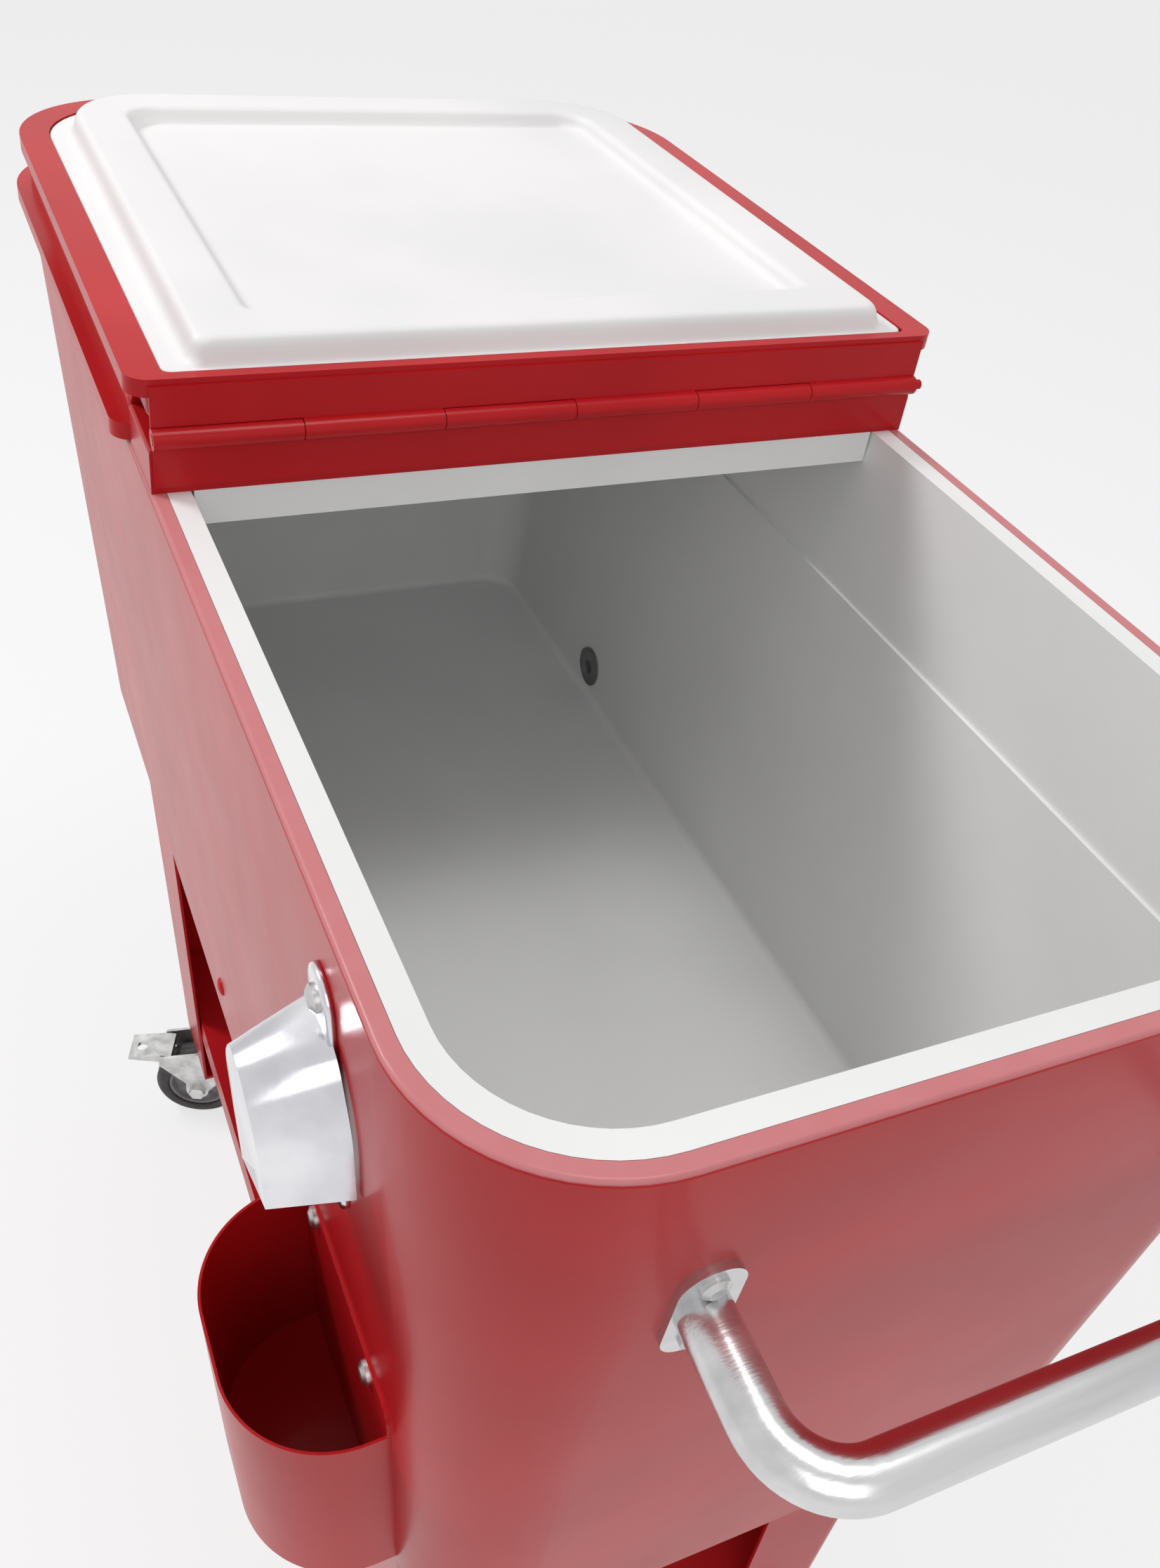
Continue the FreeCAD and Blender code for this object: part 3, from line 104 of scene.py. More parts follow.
class Tree:
    """A material's node tree with one method that adds any node."""

    def __init__(self, name: str, owner: Any = None) -> None:
        """Start an empty tree, in a new material of that name unless an owner is given."""
        self.material = owner or bpy.data.materials.new(name)
        self.material.use_nodes = True
        self.nodes = self.material.node_tree.nodes
        self.nodes.clear()

    def add(self, kind: str, settings: Dict[str, Any], inputs: Dict[Any, Any],
            output: Union[int, str] = 0) -> Wire:
        """Add a node.

        Args:
            kind: the node's type.
            settings: its properties; "stops" gives a colour ramp's (position, colour) pairs.
            inputs: values or wires by socket name or number.
            output: the socket to return.

        Returns:
            The chosen output socket as a wire.
        """
        node = self.nodes.new(kind)
        for key, value in settings.items():
            if key == "stops":
                ramp = node.color_ramp
                while len(ramp.elements) < len(value):
                    ramp.elements.new(0.5)
                for element, (position, colour) in zip(ramp.elements, value):
                    element.position = position
                    element.color = tuple(colour) + (1.0,)
            else:
                setattr(node, key, value)
        for key, value in inputs.items():
            if isinstance(value, Wire):
                self.material.node_tree.links.new(value.socket, node.inputs[key])
            else:
                node.inputs[key].default_value = value
        return Wire(self, node.outputs[output])

    def place(self) -> Wire:
        """Return the object's own coordinates, in metres."""
        return self.add("ShaderNodeTexCoord", {}, {}, "Object")

    def axis(self, letter: str) -> Wire:
        """Return one of the object's own coordinates."""
        return self.add("ShaderNodeSeparateXYZ", {}, {0: self.place()}, letter)

    def noise(self, scale: float, detail: float = 2.0, stretch: Sequence[float] = (1, 1, 1)) -> Wire:
        """Return fractal noise on the object's coordinates, about 0.5.

        Args:
            scale: lumps per metre.
            detail: how many finer octaves are added.
            stretch: a factor on each coordinate; a small one draws the lumps out along it.

        Returns:
            The noise as a wire.
        """
        where = self.add("ShaderNodeMapping", {}, {"Vector": self.place(), "Scale": stretch})
        return self.add("ShaderNodeTexNoise", {}, {"Vector": where, "Scale": scale,
                                                   "Detail": detail}, "Fac")

    def mix(self, amount: Any, first: Any, second: Any) -> Wire:
        """Mix two colours.

        Args:
            amount: nought gives the first colour and one the second.
            first: a colour or a wire.
            second: a colour or a wire.

        Returns:
            The mixed colour as a wire.
        """
        node = self.add("ShaderNodeMix", {"data_type": "RGBA"}, {0: amount}, 2).socket.node
        for socket, colour in ((node.inputs[6], first), (node.inputs[7], second)):
            if isinstance(colour, Wire):
                self.material.node_tree.links.new(colour.socket, socket)
            else:
                socket.default_value = tuple(colour) + (1.0,)
        return Wire(self, node.outputs[2])

    def bump(self, height: Wire, strength: float, distance: float) -> Wire:
        """Return a normal bumped by a height."""
        return self.add("ShaderNodeBump", {}, {"Height": height, "Strength": strength,
                                               "Distance": distance})

    def finish(self, inputs: Dict[str, Any]) -> Any:
        """Close the tree with a Principled shader.

        Args:
            inputs: the shader's values, colours and wires by socket name.

        Returns:
            The material.
        """
        wired = {key: (tuple(value) + (1.0,) if isinstance(value, tuple) and len(value) == 3
                       else value) for key, value in inputs.items()}
        shader = self.add("ShaderNodeBsdfPrincipled", {}, wired)
        self.add_output(shader)
        return self.material

    def seen(self) -> Wire:
        """Return one for camera, glossy and transmission rays, and nought for the others."""
        path = self.add("ShaderNodeLightPath", {}, {}).socket.node
        camera, glossy, through = (Wire(self, path.outputs["Is %s Ray" % kind])
                                   for kind in ("Camera", "Glossy", "Transmission"))
        return (camera + glossy + through).clamp()

    def add_output(self, shader: Wire, kind: str = "ShaderNodeOutputMaterial") -> None:
        """Join a shader to the output's surface."""
        out = self.nodes.new(kind)
        self.material.node_tree.links.new(shader.socket, out.inputs["Surface"])


# ---- finishes ----


@dataclass(frozen=True)
class PowderCoat:
    """Glossy red powder coat: a faint orange peel, and a painted reflection, a pale pink band along
    the rim.
    """

    name: str = "red_powder_coat"
    red: Colour = (0.55, 0.013, 0.018)
    deep: Colour = (0.46, 0.009, 0.013)
    # painted reflection: the pale pink sheen that the rolled rim's top shows in light
    rim_sheen: Colour = (0.60, 0.22, 0.23)
    pale_from: float = 10.0
    pale_to: float = 11.0

    def material(self) -> Any:
        """Return the material.

        The colour is a slow noise between two reds.  Between the two pale heights, all round, it
        turns to
        a pale pink: a painted reflection that stands for the sheen on the rolled rim.
        """
        tree = Tree(self.name)
        peel = tree.noise(900.0, 1.0)
        drift = tree.noise(7.0, 3.0).band(0.3, 0.7)
        height = tree.axis("Z")
        # painted reflection: a pale pink band at the rim's height, mottled a little by noise
        edge = height.band(self.pale_from, self.pale_from + 0.0006)
        edge = edge * (1.0 - height.band(self.pale_to, self.pale_to + 0.0004))
        edge = edge * (0.82 + 0.25 * tree.noise(60.0, 2.0))
        colour = tree.mix(edge.clamp(), tree.mix(drift, self.deep, self.red), self.rim_sheen)
        return tree.finish({
            "Base Color": colour,
            "Roughness": 0.26 + 0.08 * tree.noise(25.0, 3.0),
            "Coat Weight": 0.06,
            "Coat Roughness": 0.06,
            "Specular IOR Level": 0.16,
            "Normal": tree.bump(peel, 0.05, 0.0004),
        })


@dataclass(frozen=True)
class Moulding:
    """White moulded plastic with a soft gloss and a very fine grain."""

    name: str = "white_moulding"
    white: Colour = (0.86, 0.86, 0.855)
    shade: Colour = (0.80, 0.80, 0.795)
    roughness: float = 0.38

    def material(self) -> Any:
        """Return the material: a slow drift between two whites and a fine mottled grain."""
        tree = Tree(self.name)
        drift = tree.noise(5.0, 3.0).band(0.3, 0.7)
        grain = tree.noise(1400.0, 2.0)
        return tree.finish({
            "Base Color": tree.mix(drift, self.shade, self.white),
            "Roughness": self.roughness + 0.10 * tree.noise(40.0, 3.0),
            "Specular IOR Level": 0.4,
            "Normal": tree.bump(grain, 0.05, 0.0003),
        })


@dataclass(frozen=True)
class Metal:
    """A bare or plated metal; grain above nought draws brush lines along the stretched axis."""

    name: str
    light: Colour = (0.80, 0.80, 0.81)
    dark: Colour = (0.62, 0.62, 0.64)
    roughness: float = 0.18
    spread: float = 0.12
    grain: float = 0.05
    scale: float = 60.0
    stretch: Tuple[float, float, float] = (1.0, 1.0, 1.0)

    def material(self) -> Any:
        """Return the material: a cloudy noise drives its tone, roughness and small bumps."""
        tree = Tree(self.name)
        cloud = tree.noise(self.scale, 4.0, self.stretch)
        fine = tree.noise(self.scale * 14.0, 2.0, self.stretch)
        return tree.finish({
            "Base Color": tree.mix(cloud.band(0.3, 0.7), self.dark, self.light),
            "Metallic": 1.0,
            "Roughness": self.roughness + self.spread * cloud,
            "Normal": tree.bump(fine, self.grain, 0.0004),
        })


@dataclass(frozen=True)
class Compound:
    """A dull moulded or foamed material: rubber, nylon or foam."""

    name: str
    light: Colour
    dark: Colour
    roughness: float = 0.6
    cell: float = 300.0
    depth: float = 0.15

    def material(self) -> Any:
        """Return the material: fine noise gives its mottling and its matt surface."""
        tree = Tree(self.name)
        mottle = tree.noise(self.cell * 0.2, 3.0).band(0.3, 0.7)
        return tree.finish({
            "Base Color": tree.mix(mottle, self.dark, self.light),
            "Roughness": self.roughness + 0.15 * tree.noise(self.cell * 0.3, 2.0),
            "Normal": tree.bump(tree.noise(self.cell, 3.0), self.depth, 0.0005),
        })


rim_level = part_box("tub_shell")[1].z


class Finish(Enum):
    """Every finish on the cooler."""

    COAT = PowderCoat()
    # the rim coat puts the painted reflection band at the top of the tub shell
    RIM_COAT = PowderCoat(name="red_coat_rim", pale_from=rim_level - 0.0016,
                          pale_to=rim_level + 0.002)
    WHITE = Moulding()
    LID_WHITE = Moulding(name="lid_moulding", white=(0.88, 0.86, 0.86), shade=(0.80, 0.79, 0.79),
                         roughness=0.42)
    CASTING = Metal("polished_casting", light=(0.86, 0.86, 0.89), dark=(0.66, 0.66, 0.70),
                    roughness=0.10, spread=0.16, grain=0.04, scale=28.0)
    STEEL = Metal("zinc_plated_steel", light=(0.74, 0.74, 0.73), dark=(0.50, 0.50, 0.50),
                  roughness=0.22, spread=0.25, grain=0.08, scale=90.0)
    SHEET = Metal("galvanised_sheet", light=(0.62, 0.63, 0.64), dark=(0.42, 0.43, 0.45),
                  roughness=0.35, spread=0.25, grain=0.05, scale=45.0)
    TUBE = Metal("brushed_stainless", light=(0.76, 0.76, 0.77), dark=(0.60, 0.60, 0.61),
                 roughness=0.16, spread=0.14, grain=0.10, scale=70.0, stretch=(1.0, 0.08, 1.0))
    FITTING = Compound("grey_nylon", (0.20, 0.20, 0.20), (0.12, 0.12, 0.12), 0.42)
    SPOKE = Compound("grey_wheel_centre", (0.30, 0.30, 0.31), (0.22, 0.22, 0.23), 0.38, 400.0, 0.1)
    GASKET = Compound("black_gasket", (0.035, 0.035, 0.035), (0.02, 0.02, 0.02), 0.65)
    TYRE = Compound("wheel_rubber", (0.070, 0.068, 0.066), (0.035, 0.034, 0.033), 0.5, 500.0, 0.2)
    FOAM = Compound("cell_foam", (0.86, 0.76, 0.50), (0.74, 0.62, 0.38), 0.8, 700.0, 0.5)


class Paintbox:
    """Makes each finish's material once."""

    made: Dict[Finish, Any] = {}

    @classmethod
    def get(cls, finish: Finish) -> Any:
        """Return the material of a finish."""
        if finish not in cls.made:
            cls.made[finish] = finish.value.material()
        return cls.made[finish]


# ---- surfaces ----


def paint(piece: Any, finish: Finish) -> None:
    """Give a piece one finish all over."""
    piece.data.materials.clear()
    piece.data.materials.append(Paintbox.get(finish))


def polish_node(name: str, finish: Finish, angle: float = 28.0) -> None:
    """Dress a CAD node: its finish, and smooth shading between faces that meet gently.

    Args:
        name: the node.
        finish: its finish.
        angle: the sharpest turn, in degrees, that is still shaded smooth.
    """
    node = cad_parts[name]
    paint(node, finish)
    node.data.polygons.foreach_set("use_smooth", [True] * len(node.data.polygons))
    weld = node.modifiers.new("weld", "WELD")
    weld.merge_threshold = 1e-6
    split = node.modifiers.new("split", "EDGE_SPLIT")
    split.split_angle = math.radians(angle)
    node.modifiers.new("normals", "WEIGHTED_NORMAL").keep_sharp = True
    log.info("dressed %s", name)


def surface(name: str, points: Array, wrap_across: bool = False, wrap_along: bool = False,
            caps: bool = False) -> Any:
    """Make a mesh from a grid of points.

    Args:
        name: the piece's name.
        points: an array of shape (along, across, 3).
        wrap_across: join the last point of each row to its first.
        wrap_along: join the last row to the first.
        caps: close the first and last rows with a face.

    Returns:
        The new object, linked to the scene.
    """
    along, across = points.shape[:2]
    index = np.arange(along * across).reshape(along, across)
    rows = np.vstack([index, index[:1]]) if wrap_along else index
    grid = np.hstack([rows, rows[:, :1]]) if wrap_across else rows
    quads = np.stack([grid[:-1, :-1], grid[:-1, 1:], grid[1:, 1:], grid[1:, :-1]], -1)
    faces = quads.reshape(-1, 4).tolist()
    if caps:
        faces += [index[0][::-1].tolist(), index[-1].tolist()]
    mesh = bpy.data.meshes.new(name)
    mesh.from_pydata(points.reshape(-1, 3).tolist(), [], faces)
    mesh.polygons.foreach_set("use_smooth", [True] * len(mesh.polygons))
    mesh.validate()
    mesh.update()
    piece = bpy.data.objects.new(name, mesh)
    bpy.context.scene.collection.objects.link(piece)
    return piece


def rounded(corners: Array, radius: float, steps: int, closed: bool = False) -> Array:
    """Round a broken line's corners.

    Near each corner C the line leaves one side at A and joins the next at B, both at most one
    radius from C, along the curve (1 - t)^2 A + 2 t (1 - t) C + t^2 B.

    Args:
        corners: an array of shape (count, dimensions).
        radius: how far from each corner its curve starts.
        steps: points in each curve.
        closed: whether the line joins its own start, so that all corners are rounded.

    Returns:
        The points of the rounded line.
    """
    corners = np.asarray(corners, float)
    before, after = np.roll(corners, 1, 0), np.roll(corners, -1, 0)
    bends = slice(None) if closed else slice(1, -1)
    here = corners[bends]
    ends = []
    for other in (before[bends], after[bends]):
        run = np.linalg.norm(other - here, axis=1, keepdims=True)
        ends.append(here + (other - here) * np.minimum(radius / run, 0.48))
    t = np.linspace(0, 1, steps)[None, :, None]
    first, last = ends[0][:, None], ends[1][:, None]
    curves = (1 - t) ** 2 * first + 2 * t * (1 - t) * here[:, None] + t ** 2 * last
    points = curves.reshape(-1, corners.shape[1])
    return points if closed else np.vstack([corners[:1], points, corners[-1:]])


def turned(name: str, profile: Array, centre: Vector, axis: Vector, sides: int = 72) -> Any:
    """Turn a closed profile about an axis.

    A profile point (along, radius) at angle a lies at centre + along * axis
    + radius * (cos a * u + sin a * v), with u and v square to the axis.

    Args:
        name: the piece's name.
        profile: (along, radius) pairs round a closed section, or from axis to axis.
        centre: where the axis starts.
        axis: its direction.
        sides: steps round the axis.

    Returns:
        The new object.
    """
    along = np.array(axis.normalized())
    u = np.array(axis.orthogonal().normalized())
    v = np.cross(along, u)
    angle = np.linspace(0, 2 * math.pi, sides, endpoint=False)[None, :, None]
    ring = np.cos(angle) * u + np.sin(angle) * v
    points = np.array(centre) + profile[:, None, :1] * along + profile[:, None, 1:] * ring
    open_ended = profile[0, 1] < 1e-5 and profile[-1, 1] < 1e-5
    piece = surface(name, points, wrap_across=True, wrap_along=not open_ended)
    merge(piece)
    outward(piece)
    return piece


def merge(piece: Any, distance: float = 2e-6) -> None:
    """Join the vertices of a piece that lie at the same place, which closes seams and poles.

    Args:
        piece: the object.
        distance: how near two vertices are joined, in metres.
    """
    shape = bmesh.new()
    shape.from_mesh(piece.data)
    bmesh.ops.remove_doubles(shape, verts=shape.verts, dist=distance)
    bmesh.ops.recalc_face_normals(shape, faces=shape.faces)
    shape.to_mesh(piece.data)
    shape.free()


def round_rectangle(low: Array, high: Array, radii: Sequence[float], steps: int) -> Array:
    """Return a rectangle's outline with its own radius at each corner.

    The corners follow in the order low-low, high-low, high-high, low-high, and each is a quarter
    turn of points at centre + radius * (cos a, sin a).

    Args:
        low: the lowest corner.
        high: the highest corner.
        radii: the four corners' radii.
        steps: points in each quarter turn.

    Returns:
        An array of shape (4 * steps, 2).
    """
    signs = np.array([(-1, -1), (1, -1), (1, 1), (-1, 1)], float)
    size = np.maximum(np.asarray(radii, float), 1e-4)[:, None]
    spots = np.where(signs < 0, low, high) - signs * size
    start = np.array([math.pi, 1.5 * math.pi, 0, 0.5 * math.pi])[:, None]
    angle = start + np.linspace(0, math.pi / 2, steps)[None, :]
    arcs = spots[:, None] + size[:, None] * np.stack([np.cos(angle), np.sin(angle)], -1)
    return arcs.reshape(-1, 2)


def outward(piece: Any) -> None:
    """Turn a closed piece's faces outwards, judged by the sign of its volume."""
    mesh = piece.data
    count = len(mesh.vertices)
    spots = np.zeros(count * 3)
    mesh.vertices.foreach_get("co", spots)
    spots = spots.reshape(-1, 3)
    mesh.calc_loop_triangles()
    corners = np.zeros(len(mesh.loop_triangles) * 3, dtype=np.int32)
    mesh.loop_triangles.foreach_get("vertices", corners)
    a, b, c = (spots[corners.reshape(-1, 3)[:, k]] for k in range(3))
    if np.einsum("ij,ij->i", a, np.cross(b, c)).sum() < 0:
        mesh.flip_normals()


def add_modifier(piece: Any, kind: str, **settings: Any) -> Any:
    """Add a modifier.

    Args:
        piece: the object that gets it.
        kind: the modifier's type.
        settings: its properties by name.

    Returns:
        The modifier.
    """
    modifier = piece.modifiers.new(kind.lower(), kind)
    for key, value in settings.items():
        setattr(modifier, key, value)
    return modifier


def settle(piece: Any, body: str, finish: Finish, stands_for: Iterable[str] = ()) -> Any:
    """Finish a new piece.

    Args:
        piece: the object.
        body: the body it moves with.
        finish: its finish.
        stands_for: the CAD nodes that it is shown in place of.

    Returns:
        The same object.
    """
    paint(piece, finish)
    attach(piece, body)
    names = list(stands_for)
    if names:
        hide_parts(*names)
    log.info("built %s on %s", piece.name, body)
    return piece


# the turn of each caster about its swivel axis at rest, in degrees
WHEEL_TURNS = {"front_left": 68.0, "front_right": 62.0, "rear_left": 75.0, "rear_right": 58.0}


# ---- sub-assemblies ----


class Tub:
    """The steel tub, its insulation and liner, and the bar across it."""

    def dress(self) -> None:
        """Dress the tub's own nodes."""
        polish_node("tub_shell", Finish.RIM_COAT)
        polish_node("tub_base", Finish.SHEET)
        polish_node("tub_insulation", Finish.FOAM)
        polish_node("tub_liner", Finish.WHITE)
        polish_node("center_bar", Finish.COAT)
        polish_node("center_bar_trim", Finish.WHITE)


class Hinges:
    """Leaves and pins of both hinges."""

    def dress(self) -> None:
        """Dress the hinges, all coated with the lids."""
        for side in ("left", "right"):
            polish_node("bar_leaf_" + side, Finish.COAT)
            polish_node(side + "_lid_leaf", Finish.COAT)
            polish_node("hinge_pin_" + side, Finish.COAT)


@dataclass
class Lids:
    """Both lids, with the open one's white moulding as one soft pressed form."""

    plug_step: float = 11.4 * MM
    plug_step_hinge: float = 1.8 * MM
    slope: float = 0.25
    flange: float = 2.5 * MM
    plug_height: float = 11.4 * MM
    rim_width: float = 27 * MM
    recess: float = 8 * MM
    softness: float = 5 * MM
    outer_radius: float = 59 * MM
    hinge_radius: float = 7 * MM

    def moulding(self) -> Any:
        """Build the folded lid's moulding.

        Every row is a rounded rectangle that moves in from the flange's edge by the profile's
        first number on three sides and by its second at the hinge, at the profile's height.

        Returns:
            The new piece.
        """
        low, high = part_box("right_lid_liner")
        face = high.z
        seat = face - self.plug_height
        draft = self.slope * self.plug_height
        step, step_hinge = self.plug_step, self.plug_step_hinge
        inner, inner_hinge = step + draft + self.rim_width, step_hinge + draft + self.rim_width
        fall = self.slope * self.recess
        middle = 0.30 * (high.y - low.y)
        profile = rounded(np.array([
            (middle, middle, seat - self.flange), (0, 0, seat - self.flange), (0, 0, seat),
            (step, step_hinge, seat), (step + draft, step_hinge + draft, face),
            (inner, inner_hinge, face), (inner + fall, inner_hinge + fall, face - self.recess),
            (middle, middle, face - self.recess)]), self.softness, 7)
        rows = []
        for inset, inset_hinge, height in profile:
            outer = self.outer_radius - inset
            corner = self.hinge_radius
            flat = round_rectangle(np.array([low.x + inset, low.y + inset]),
                                   np.array([high.x - inset_hinge, high.y - inset]),
                                   (outer, corner, corner, outer), 14)
            rows.append(np.column_stack([flat, np.full(len(flat), height)]))
        piece = surface("right_lid_moulding", np.array(rows), wrap_across=True, caps=True)
        outward(piece)
        return settle(piece, "right_lid", Finish.LID_WHITE, ["right_lid_liner"])

    def dress(self) -> None:
        """Dress the lids' nodes and build the open lid's moulding."""
        for side in ("left", "right"):
            polish_node(side + "_lid_skin", Finish.COAT)
            polish_node(side + "_lid_foam", Finish.FOAM)
        polish_node("left_lid_liner", Finish.LID_WHITE)
        self.moulding()


@dataclass
class WallFrame:
    """A place on the leaning front wall: across it, up it and out of it."""

    origin: Vector
    lean: float = math.atan(0.07)

    def put(self, points: Array) -> Array:
        """Return the world places of (across, up, out) points."""
        across, up, out = points[..., 0], points[..., 1], points[..., 2]
        turned_y = -out * math.cos(self.lean) - up * math.sin(self.lean)
        turned_z = up * math.cos(self.lean) - out * math.sin(self.lean)
        return np.stack([across, turned_y, turned_z], -1) + np.array(self.origin)

    def outwards(self) -> Vector:
        """Return the direction out of the wall."""
        return Vector((0, -math.cos(self.lean), -math.sin(self.lean)))


@dataclass
class Opener:
    """The cast bottle opener: a plate with two lugs and a five-sided crowned hood."""

    half_height: float = 59.5 * MM
    lug_radius: float = 11 * MM
    plate: float = 3 * MM
    reach: float = 30 * MM
    crown: float = 2.2 * MM
    wall: float = 2.6 * MM
    soft: float = 10 * MM

    def where(self) -> WallFrame:
        """Return the opener's middle, from the box of its node."""
        low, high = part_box("bottle_opener")
        lean = WallFrame(Vector()).lean
        return WallFrame(Vector(((low.x + high.x) / 2,
                                 high.y - self.half_height * math.sin(lean),
                                 high.z - self.half_height * math.cos(lean))))

    def hood(self) -> Any:
        """Build the hood.

        Rows run from the plate outwards and then over the face.  Along the side, a row is a mix
        of the wide outline at the plate and the narrow one at the face.  Over the face, the
        narrow outline shrinks to the middle of its lower edge while it rises by the crown.

        Returns:
            The new piece.
        """
        wide = rounded(np.array([(-28, -22), (-28, 12), (-15, 38), (15, 38), (28, 12), (28, -22)])
                       * MM, self.soft, 9)
        narrow = rounded(np.array([(-22, -20), (-22, 9), (-8, 30), (8, 30), (22, 9), (22, -20)])
                         * MM, self.soft, 9)
        foot = np.array([0, -20 * MM])
        path = rounded(np.array([(0, 1, self.plate * 0.5), (1, 1, self.reach),
                                 (1, 0, self.reach + self.crown)]), self.soft * 0.8, 12)
        mix, shrink, out = (path[:, k][:, None, None] for k in range(3))
        flat = (1 - mix) * wide + mix * narrow
        flat = foot + (flat - foot) * np.maximum(shrink, 1e-3)
        points = np.concatenate([flat, np.broadcast_to(out, flat.shape[:2] + (1,))], -1)
        piece = surface("opener_hood", self.where().put(points))
        merge(piece, 1e-5)
        self.face_out(piece)
        add_modifier(piece, "SOLIDIFY", thickness=self.wall, offset=-1.0, use_even_offset=False)
        add_modifier(piece, "BEVEL", width=0.8 * MM, segments=3, limit_method="ANGLE",
                     angle_limit=math.radians(50))
        return settle(piece, "cabinet", Finish.CASTING, ["bottle_opener"])

    def face_out(self, piece: Any) -> None:
        """Turn the hood's open shell to face out of the wall, judged by its summed normals."""
        piece.data.update()
        spread = np.zeros(len(piece.data.polygons) * 3)
        piece.data.polygons.foreach_get("normal", spread)
        if spread.reshape(-1, 3).sum(0) @ np.array(self.where().outwards()) < 0:
            piece.data.flip_normals()

    def back(self) -> Any:
        """Build the plate: two rounded lugs on a strap, with a soft front edge."""
        half, lug = self.half_height, self.lug_radius
        flat = round_rectangle(np.array([-lug, -half]), np.array([lug, half]), (lug * 0.98,) * 4, 16)
        rows = []
        edge = np.array([(0.0, 0.0), (0.0, self.plate - 1.2 * MM), (0.4 * MM, self.plate - 0.4 * MM),
                         (1.4 * MM, self.plate)])
        for inset, out in edge:
            shrunk = flat * (1 - inset / np.array([lug, half]))
            rows.append(np.column_stack([shrunk, np.full(len(flat), out)]))
        piece = surface("opener_plate", self.where().put(np.array(rows)), wrap_across=True, caps=True)
        outward(piece)
        return settle(piece, "cabinet", Finish.CASTING, ["bottle_opener"])

    def catch(self) -> Any:
        """Build the tooth inside the hood's mouth that lifts a cap: a small rounded bar."""
        ring = round_rectangle(np.array([-2.0, -1.6]) * MM, np.array([2.0, 1.6]) * MM,
                               (0.9 * MM,) * 4, 5)
        across = np.linspace(-8 * MM, 8 * MM, 5)
        points = np.stack([np.broadcast_to(across[:, None], (5, len(ring))),
                           np.broadcast_to(ring[None, :, 1] - 18 * MM, (5, len(ring))),
                           np.broadcast_to(ring[None, :, 0] + 24 * MM, (5, len(ring)))], -1)
        piece = surface("opener_tooth", self.where().put(points), wrap_across=True, caps=True)
        outward(piece)
        return settle(piece, "cabinet", Finish.CASTING, ["bottle_opener"])

    def dress(self) -> None:
        """Build the opener and dress its screws."""
        self.hood()
        self.back()
        self.catch()
        polish_node("opener_screws", Finish.STEEL)


@dataclass
class Fittings:
    """What is screwed or riveted to the tub's walls."""

    rivet_radius: float = 5.5 * MM
    rivet_rise: float = 2.6 * MM
    rivet_x: float = 12 * MM
    rivet_z: float = 485 * MM

    def rivet(self) -> Any:
        """Build the painted rivet head on the front wall: a low dome turned about its normal."""
        low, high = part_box("tub_shell")
        wall = WallFrame(Vector((self.rivet_x, 0, self.rivet_z)))
        wall.origin.y = low.y + math.tan(wall.lean) * (high.z - self.rivet_z)
        angle = np.linspace(0, math.pi / 2, 9)
        dome = np.column_stack([self.rivet_rise * np.sin(angle), self.rivet_radius * np.cos(angle)])
        profile = np.vstack([[-0.1 * MM, 0.0], [-0.1 * MM, self.rivet_radius], dome])
        profile[-1, 1] = 0.0
        piece = turned("front_rivet", profile, wall.origin, wall.outwards(), 32)
        return settle(piece, "cabinet", Finish.COAT)

    def dress(self) -> None:
        """Dress the catcher, the handles and the drain, and build the rivet."""
        polish_node("cap_catcher", Finish.COAT)
        for name in ("catcher_screws", "handle_screws"):
            polish_node(name, Finish.STEEL)
        for name in ("handle_left", "handle_right"):
            polish_node(name, Finish.TUBE)
        for name in ("drain_fitting", "drain_nut", "drain_cap"):
            polish_node(name, Finish.FITTING)
        polish_node("drain_gasket", Finish.GASKET)
        self.rivet()


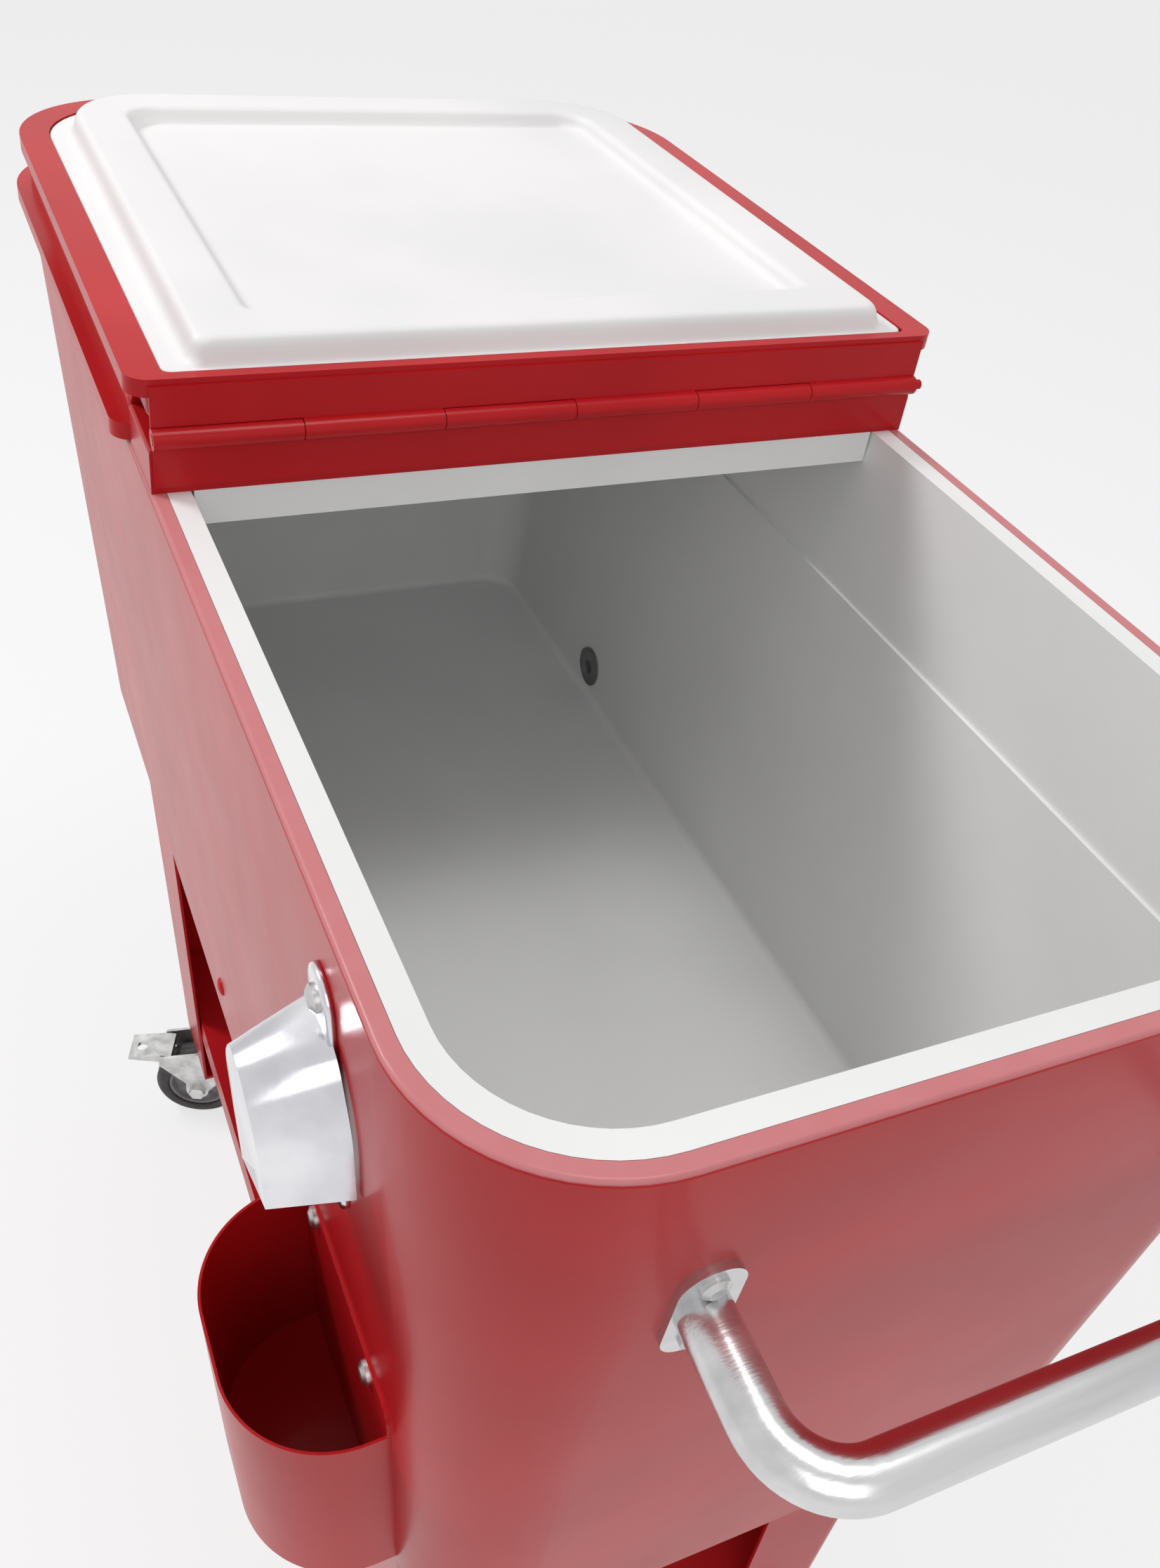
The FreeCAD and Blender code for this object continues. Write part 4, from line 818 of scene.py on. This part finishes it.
@dataclass
class Undercarriage:
    """Legs, shelf and casters."""

    corners: Tuple[str, ...] = ("front_left", "front_right", "rear_left", "rear_right")
    tread_width: float = 24 * MM
    hub_width: float = 28.4 * MM
    hub_radius: float = 10 * MM
    bore: float = 4.05 * MM
    spokes: int = 6

    def wheel(self, corner: str) -> None:
        """Build one wheel: a grooved tyre turned about the axle, and a ribbed centre in it.

        The tyre's section is a rounded trapezium with two shallow grooves.

        Args:
            corner: the caster's corner, as in its nodes' names.
        """
        low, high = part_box("wheel_" + corner)
        middle = (low + high) / 2
        radius = (high.z - low.z) / 2
        turn = math.radians(WHEEL_TURNS[corner])
        axle = Vector((-math.sin(turn), math.cos(turn), 0))
        half, inner = self.tread_width / 2, radius * 0.70
        groove = 0.7 * MM
        section = [(-half, inner), (-half, radius * 0.90), (-half * 0.62, radius),
                   (-half * 0.34, radius), (-half * 0.28, radius - groove),
                   (-half * 0.16, radius - groove), (-half * 0.10, radius)]
        section += [(-along, out) for along, out in reversed(section)]
        tyre = turned("tyre_" + corner, rounded(np.array(section), 2.2 * MM, 5, True), middle, axle)
        settle(tyre, "roller_" + corner, Finish.TYRE, ["wheel_" + corner])
        self.centre(corner, middle, axle, inner)

    def centre(self, corner: str, middle: Vector, axle: Vector, inner: float) -> None:
        """Build a wheel's centre between its bore and the tyre.

        Its web moves out and in along the axle with the cosine of the spoke count times the
        angle, which makes the ribs.

        Args:
            corner: the caster's corner.
            middle: the wheel's middle.
            axle: the axle's direction.
            inner: the tyre's inner radius.
        """
        hub, half = self.hub_width / 2, self.tread_width / 2
        web, rim = half * 0.42, half * 0.86
        section = rounded(np.array([
            (-hub, self.bore), (-hub, self.hub_radius), (-web, self.hub_radius * 1.1),
            (-web, inner * 0.84), (-rim, inner * 0.90), (-rim, inner), (rim, inner),
            (rim, inner * 0.90), (web, inner * 0.84), (web, self.hub_radius * 1.1),
            (hub, self.hub_radius), (hub, self.bore)]), 1.2 * MM, 4, True)
        sides = 96
        angle = np.linspace(0, 2 * math.pi, sides, endpoint=False)
        along = np.array(axle)
        u = np.array(axle.orthogonal().normalized())
        v = np.cross(along, u)
        on_web = np.clip((section[:, 1] - self.hub_radius) / (2 * MM), 0, 1)
        on_web = on_web * np.clip((inner * 0.88 - section[:, 1]) / (2 * MM), 0, 1)
        rib = np.clip(np.cos(self.spokes * angle) * 2.2, -1, 1) * 1.6 * MM
        shift = (np.sign(section[:, 0]) * on_web)[:, None] * rib[None, :]
        ring = np.cos(angle)[:, None] * u + np.sin(angle)[:, None] * v
        points = np.array(middle) + (section[:, :1] + shift)[..., None] * along
        points = points + section[:, None, 1:] * ring[None]
        piece = surface("wheel_centre_" + corner, points, wrap_across=True, wrap_along=True)
        outward(piece)
        settle(piece, "roller_" + corner, Finish.SPOKE, ["wheel_" + corner])

    def dress(self) -> None:
        """Dress the frame and the casters, and build the wheels."""
        polish_node("lower_shelf", Finish.COAT)
        for name in ("leg_bolts", "shelf_bolts", "caster_bolts"):
            polish_node(name, Finish.STEEL)
        for corner in self.corners:
            polish_node("leg_" + corner, Finish.COAT)
            for kind in ("caster_plate_", "fork_", "axle_"):
                polish_node(kind + corner, Finish.STEEL)
            self.wheel(corner)
            if corner.startswith("front"):
                polish_node("brake_" + corner, Finish.STEEL)


# ---- stage ----


@dataclass
class Studio:
    """Floor, light and camera."""

    eye: Tuple[float, float, float] = (0.565, -0.2723, 1.1026)
    right: Tuple[float, float, float] = (0.3983, 0.9086, 0.1252)
    up: Tuple[float, float, float] = (-0.6198, 0.166, 0.767)
    focal_px: float = 2050.6
    image_height: float = 2233.0
    film: float = 36.0
    whiteness: float = 0.72
    sky: float = 0.54
    floor_half: float = 12.0

    def floor(self) -> None:
        """A wide pale floor that looks white and still takes the cooler's shadow."""
        line = np.linspace(-self.floor_half, self.floor_half, 3)
        across, along = np.meshgrid(line, line)
        floor = surface("floor", np.stack([across, along, np.zeros_like(across)], -1))
        tree = Tree("floor_white")
        diffuse = tree.add("ShaderNodeBsdfDiffuse", {}, {"Color": (0.93, 0.93, 0.93, 1.0)})
        glow = tree.add("ShaderNodeEmission", {}, {"Color": (1, 1, 1, 1), "Strength": 1.0})
        tree.add_output(tree.add("ShaderNodeMixShader", {},
                                 {0: tree.seen() * self.whiteness, 1: diffuse, 2: glow}))
        floor.data.materials.append(tree.material)

    def lamp(self, name: str, place: Vector, target: Vector, size: float, power: float) -> None:
        """Hang a square lamp.

        Args:
            name: the lamp's name.
            place: where it hangs.
            target: the point that it faces.
            size: its side.
            power: its power in watts.
        """
        light = bpy.data.lights.new(name, "AREA")
        light.size = size
        light.energy = power
        lamp = bpy.data.objects.new(name, light)
        bpy.context.scene.collection.objects.link(lamp)
        lamp.location = place
        lamp.rotation_euler = (target - place).to_track_quat("-Z", "Y").to_euler()

    def light(self) -> None:
        """Soft studio light: a pale world and three lamps."""
        world = bpy.data.worlds.new("studio")
        bpy.context.scene.world = world
        world.use_nodes = True
        tree = Tree("studio", world)
        strength = self.sky + (1 - self.sky) * tree.seen()
        tree.add_output(tree.add("ShaderNodeBackground", {}, {"Strength": strength}),
                        "ShaderNodeOutputWorld")
        middle = Vector((0.1, 0.0, 0.7))
        self.lamp("key", Vector((-1.3, -1.6, 2.6)), middle, 0.7, 34.0)
        self.lamp("fill", Vector((2.2, -0.6, 1.9)), middle, 1.6, 9.0)
        self.lamp("top", Vector((0.4, 0.3, 3.0)), middle, 0.8, 15.0)

    def camera(self) -> None:
        """The camera, from its eye point and the directions to its right and up."""
        data = bpy.data.cameras.new("camera")
        data.lens = self.focal_px / self.image_height * self.film
        data.sensor_width = self.film
        data.clip_start = 0.01
        camera = bpy.data.objects.new("camera", data)
        bpy.context.scene.collection.objects.link(camera)
        right = Vector(self.right).normalized()
        back = right.cross(Vector(self.up)).normalized()
        up = back.cross(right)
        turn = Matrix((right, up, back)).transposed().to_4x4()
        camera.matrix_world = Matrix.Translation(Vector(self.eye)) @ turn
        bpy.context.scene.camera = camera

    def build(self) -> None:
        """Set the whole stage."""
        self.camera()
        self.floor()
        self.light()
        bpy.context.scene.view_settings.view_transform = "Standard"


def main() -> None:
    """Build the stage and every sub-assembly."""
    logging.basicConfig(level=logging.INFO, format="%(message)s")
    Studio().build()
    for part in (Tub(), Hinges(), Lids(), Opener(), Fittings(), Undercarriage()):
        part.dress()


if __name__ == "__main__":
    main()
